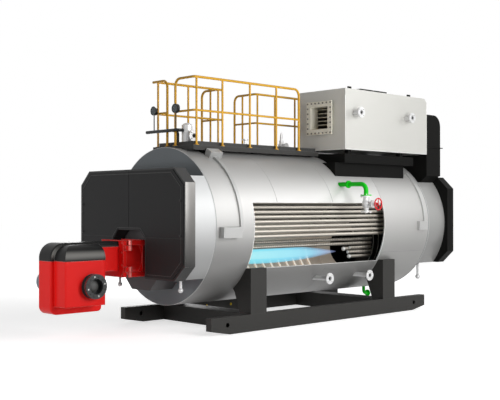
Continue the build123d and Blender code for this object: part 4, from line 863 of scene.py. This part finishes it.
# Platform: gauge dials and the flange of the steam outlet
def platform_details():
    """Bezel, dial, marks and needle of each gauge, and the steam outlet's bolts and bore."""
    low, high, middle = node_span("pressure_gauges")
    dial = (high.z - low.z) / 2
    bezel_profile = [(dial * 0.80, 0.0), (dial * 0.99, 0.0), (dial, 0.003), (dial * 0.93, 0.007),
                     (dial * 0.82, 0.006), (dial * 0.80, 0.0)]
    dial_profile = [(0, 0.0), (dial * 0.81, 0.0), (dial * 0.81, 0.002), (0, 0.002)]
    mark_size = Vector((0.002, 0.0004, 0.002))
    needle = radians(150)
    bezels = bmesh.new()
    dials = bmesh.new()
    marks = bmesh.new()
    for x in (low.x + dial, high.x - dial):
        place = Vector((x, low.y, middle.z))
        add_lathe(bezels, bezel_profile, place, (0, -1, 0), 40)
        add_lathe(dials, dial_profile, place, (0, -1, 0), 40)
        for number in range(11):
            turn = radians(-45 + 27 * number)
            mark = place + Vector((dial * 0.66 * cos(turn), -0.0024, dial * 0.66 * sin(turn)))
            add_block(marks, mark - mark_size, mark + mark_size)
        pivot = place + Vector((0, -0.003, 0))
        tip = pivot + Vector((dial * 0.55 * cos(needle), 0, dial * 0.55 * sin(needle)))
        add_tube(marks, [pivot, tip], 0.0014, 6)
    piece("gauge_bezels", bezels, gauge_case)
    piece("gauge_dials", dials, gauge_dial)
    piece("gauge_marks", marks, gauge_ink, smooth=False)

    low, high, middle = node_span("steam_outlet")
    nozzle_rise, bolt_reach = 0.153, 0.060
    bolts = bmesh.new()
    bore = bmesh.new()
    add_flange_fittings(bolts, bore, Vector((high.x, middle.y, low.z + nozzle_rise)), bolt_reach,
                        (0.032, 0.035, 0.038))
    piece("steam_outlet_bolts", bolts, zinc_bolt)
    piece("steam_outlet_bore", bore, bore_shadow)


platform_details()


# Burner: bolts, ring and dome of the air inlet, motor fins, flange bolts and hinge sleeves as painted
# highlights
def air_inlet_details():
    """Bolts round the inlet's rim, every third one bright, a red ring and the dome inside."""
    low, high, middle = node_span("air_inlet")
    radius = (high.z - low.z) / 2
    face = Vector((high.x, middle.y, middle.z))
    bright = bmesh.new()
    dark = bmesh.new()
    for number, place in enumerate(around(face - Vector((0.001, 0, 0)), radius * 0.80, 12, 14.0)):
        if number % 3 == 0:
            add_bolt(bright, place, (1, 0, 0), 0.016, 0.006)
        else:
            add_bolt(dark, place, (1, 0, 0), 0.024, 0.005)
    piece("air_inlet_bright_bolts", bright, zinc_bolt, body="burner")
    piece("air_inlet_dark_bolts", dark, black_bolt, body="burner")

    sunk, proud, half = radius - 0.004, radius + 0.0015, 0.003
    line = bmesh.new()
    add_lathe(line, [(sunk, -half), (proud, -half), (proud, half), (sunk, half), (sunk, -half)],
              face - Vector((0.026, 0, 0)), (1, 0, 0), 48)
    piece("air_inlet_red_line", line, burner_paint, body="burner")

    dome = bmesh.new()
    add_lathe(dome, [(0.0, 0.046), (0.03, 0.044), (0.06, 0.036), (0.082, 0.022), (0.088, 0.0), (0.0, 0.0)],
              face - Vector((0.100, 0, 0)), (1, 0, 0), 36)
    piece("air_inlet_dome", dome, dome_grey, body="burner")


def motor_details():
    """Cooling ribs along the fan motor."""
    low, high, middle = node_span("fan_motor")
    rib_circle = (high.z - low.z) / 2 - 0.006
    ribs = bmesh.new()
    for place in around(middle, rib_circle, 18):
        ends = [Vector((x, place.y, place.z)) for x in (low.x + 0.05, high.x - 0.06)]
        add_tube(ribs, ends, 0.008, 8)
    piece("motor_ribs", ribs, motor_paint, body="burner")


def hinge_details():
    """Bolts of the burner's flange and the pale sleeves of its hinge, a painted highlight: two stay, two
    swing.
    """
    low, high, middle = node_span("burner_flange")
    edge, side_edge, inner = 0.04, 0.09, 0.09
    bolts = bmesh.new()
    for x in (low.x + edge, high.x - side_edge):
        for z in (low.z + edge, middle.z - inner, middle.z + inner, high.z - edge):
            add_bolt(bolts, (x, low.y, z), (0, -1, 0), 0.022, 0.010)
    piece("hinge_plate_bolts", bolts, burner_paint, body="burner")

    hinge_x, hinge_y = 0.304, -1.806
    knuckle, pitch = 0.074, 0.079
    inside, outside = 0.0262, 0.0285
    sleeve = [(inside, 0.004), (outside, 0.006), (outside, knuckle - 0.006), (inside, knuckle - 0.004),
              (inside, 0.004)]
    levels = {"boiler": (low.z, high.z - knuckle), "burner": (low.z + pitch, high.z - knuckle - pitch)}
    for body, starts in levels.items():
        mesh = bmesh.new()
        for start in starts:
            add_lathe(mesh, sleeve, (hinge_x, hinge_y, start), (0, 0, 1), 28)
        piece("hinge_highlight_sleeves_" + body, mesh, pin_painted_highlight, body=body)


air_inlet_details()
motor_details()
hinge_details()


# Skid and feed valve
def skid_details():
    """Two yellow plugs on the inner side of the far skid beam."""
    plug_profile = [(0, 0), (0.022, 0), (0.022, 0.006), (0.014, 0.012), (0, 0.012)]
    web_x = -0.915
    plugs = bmesh.new()
    for y, z in ((0.753, 0.162), (1.326, 0.149)):
        add_lathe(plugs, plug_profile, (web_x, y, z), (1, 0, 0), 20)
    piece("beam_plugs", plugs, yellow_mark)


def valve_details():
    """Bolts of the feed valve's flanges and the nut on its wheel."""
    low, high, middle = node_span("feed_valve")
    flange_radius = (high.y - low.y) / 2
    flange = 0.018
    bolt_circle = flange_radius * 0.78
    bolts = bmesh.new()
    for number in range(4):
        turn = pi / 4 + pi / 2 * number
        x = low.x + flange_radius + bolt_circle * cos(turn)
        y = middle.y + bolt_circle * sin(turn)
        for z, way, height in ((high.z + flange, 1, 0.010), (high.z - flange, -1, 0.010),
                               (low.z + flange, 1, 0.010), (low.z, -1, 0.008)):
            add_bolt(bolts, (x, y, z), (0, 0, way), 0.018, height)
    piece("feed_valve_bolts", bolts, zinc_bolt)
    low, high, middle = node_span("feed_handwheel")
    nut = bmesh.new()
    add_bolt(nut, (high.x - 0.002, middle.y, middle.z), (1, 0, 0), 0.026, 0.010)
    piece("handwheel_nut", nut, zinc_bolt, body="handwheel")


skid_details()
valve_details()


# Flame in the furnace
def flame_finish(name, colors, strength, thin):
    """Glow that runs through three colours along the flame and thins at its rim."""
    material, tree, shader = new_material(name)
    place = coordinates(tree)
    along = axes_of(tree, place["Generated"])["Y"]
    ramp = tree.nodes.new("ShaderNodeValToRGB")
    tree.links.new(along, ramp.inputs["Fac"])
    near, halfway, tip = colors
    stops = ramp.color_ramp.elements
    stops[0].position = 0.3
    stops[0].color = (*near, 1.0)
    stops[1].position = 1.0
    stops[1].color = (*tip, 1.0)
    stops.new(0.78).color = (*halfway, 1.0)
    streaks = noise_node(tree, place["Object"], 3.0)
    fade = map_range(tree, along, 1.0, 0.62, 0.15, 1.0)
    facing = feed(tree.nodes.new("ShaderNodeLayerWeight"), Blend=0.3)
    core = math_node(tree, "POWER", math_node(tree, "SUBTRACT", 1.0, facing.outputs["Facing"]), thin)
    breaks = add(tree, multiply(tree, streaks, 0.3), 0.8)
    broken = multiply(tree, multiply(tree, core, fade), breaks)
    feed(shader, Alpha=math_node(tree, "MINIMUM", broken, 1.0), Base_Color=(0.0, 0.0, 0.0, 1.0),
         Specular_IOR_Level=0.0, Emission_Color=ramp.outputs["Color"], Emission_Strength=strength)
    return material


def flame_shell(name, finish, widest, start, end, center_x, center_z):
    """One spindle of the flame: blunt at the burner, pointed at the far end."""
    rings = 40
    blunt, pointed = 0.7, 0.8
    profile = [(0.0, 0.0)]
    for ring in range(1, rings):
        share = ring / rings
        if share < 0.5:
            swell = sin(pi / 2 * (share / 0.5) ** blunt)
        else:
            swell = cos((share - 0.5) / 0.5 * pi / 2) ** pointed
        profile.append((widest * swell, share * (end - start)))
    profile.append((0.0, end - start))
    mesh = bmesh.new()
    add_lathe(mesh, profile, (center_x, start, center_z), (0, 1, 0), 28)
    piece(name, mesh, finish)


mantle_colors = ((0.24, 0.80, 0.92), (0.26, 0.70, 0.95), (0.46, 0.52, 0.92))
core_colors = ((0.50, 0.94, 0.98), (0.42, 0.86, 0.99), (0.52, 0.66, 0.98))
flame_shell("flame_mantle", flame_finish("flame_blue", mantle_colors, strength=1.0, thin=0.9),
            widest=0.140, start=-0.75, end=2.80, center_x=0.30, center_z=1.085)
flame_shell("flame_core", flame_finish("flame_pale", core_colors, strength=0.95, thin=1.3),
            widest=0.090, start=-0.55, end=2.62, center_x=0.36, center_z=1.090)


# Floor, background, lamps and camera
def backdrop_finish():
    """Pale floor that stays white to the eye and in reflections, and keeps the shadow."""
    material, tree = new_material("studio_floor")[:2]
    tree.nodes.clear()
    output = tree.nodes.new("ShaderNodeOutputMaterial")
    diffuse = feed(tree.nodes.new("ShaderNodeBsdfDiffuse"), Color=(0.80, 0.80, 0.80, 1.0))
    glow = tree.nodes.new("ShaderNodeEmission")
    place = coordinates(tree)
    reach = tree.nodes.new("ShaderNodeVectorMath")
    reach.operation = "LENGTH"
    tree.links.new(place["Object"], reach.inputs[0])
    # Weaker glow near the boiler: a painted darkening of the floor round it
    far = map_range(tree, reach.outputs["Value"], 3.4, 11.0, 0.62, 0.88)
    feed(glow, Strength=multiply(tree, rays_to_eye(tree), far))
    total = tree.nodes.new("ShaderNodeAddShader")
    tree.links.new(diffuse.outputs[0], total.inputs[0])
    tree.links.new(glow.outputs[0], total.inputs[1])
    feed(output, Surface=total.outputs[0])
    return material


def studio():
    """Floor and world: white to the eye, and a soft light on the object."""
    floor_mesh = bmesh.new()
    bmesh.ops.create_grid(floor_mesh, x_segments=1, y_segments=1, size=60.0)
    mesh = bpy.data.meshes.new("studio_floor")
    floor_mesh.to_mesh(mesh)
    floor_mesh.free()
    mesh.materials.append(backdrop_finish())
    new_object("studio_floor", mesh)

    world = bpy.data.worlds.new("studio_world")
    bpy.context.scene.world = world
    world.use_nodes = True
    tree = world.node_tree
    tree.nodes.clear()
    output = tree.nodes.new("ShaderNodeOutputWorld")
    sky = tree.nodes.new("ShaderNodeBackground")
    lighting = 0.15
    seen = multiply(tree, rays_to_eye(tree), 1.0 - lighting)
    feed(sky, Color=(1.0, 1.0, 1.0, 1.0), Strength=add(tree, seen, lighting))
    feed(output, Surface=sky.outputs[0])


def lamp(name, place, target, size, power):
    """Soft round lamp that looks at a point."""
    data = bpy.data.lights.new(name, "AREA")
    data.shape = "DISK"
    data.size = size
    data.energy = power
    made = new_object(name, data)
    made.location = place
    made.rotation_euler = (Vector(target) - Vector(place)).to_track_quat("-Z", "Y").to_euler()


def camera():
    """Camera at the photograph's station: its yaw, pitch and focal length come from the fitted view."""
    frame_width = 500.0
    focal_pixels = 907.98
    yaw = radians(45.947)
    pitch = radians(0.377)
    station = (11.0312, -9.7510, 1.9042)
    data = bpy.data.cameras.new("photo_camera")
    data.sensor_fit = "HORIZONTAL"
    data.sensor_width = 36.0
    data.lens = focal_pixels / frame_width * data.sensor_width
    made = new_object("photo_camera", data)
    made.location = station
    looking = Vector((-sin(yaw) * cos(pitch), cos(yaw) * cos(pitch), sin(pitch)))
    made.rotation_euler = looking.to_track_quat("-Z", "Y").to_euler()
    bpy.context.scene.camera = made


studio()
lamp("key_lamp", (9.2, 0.8, 3.6), (0.0, 0.8, 1.6), 5.0, 560)
lamp("band_lamp", (6.8, 7.2, 6.0), (0.0, 0.6, 1.6), 4.0, 110)
lamp("front_lamp", (0.7, -6.2, 1.8), (0.0, -2.6, 1.0), 1.4, 52)
lamp("back_lamp", (-8.5, 5.0, 3.4), (0.0, 2.0, 1.6), 5.0, 230)
lamp("rear_lamp", (-1.5, 13.0, 3.6), (0.0, 4.0, 1.8), 4.0, 130)
camera()
bpy.context.scene.view_settings.view_transform = "Standard"
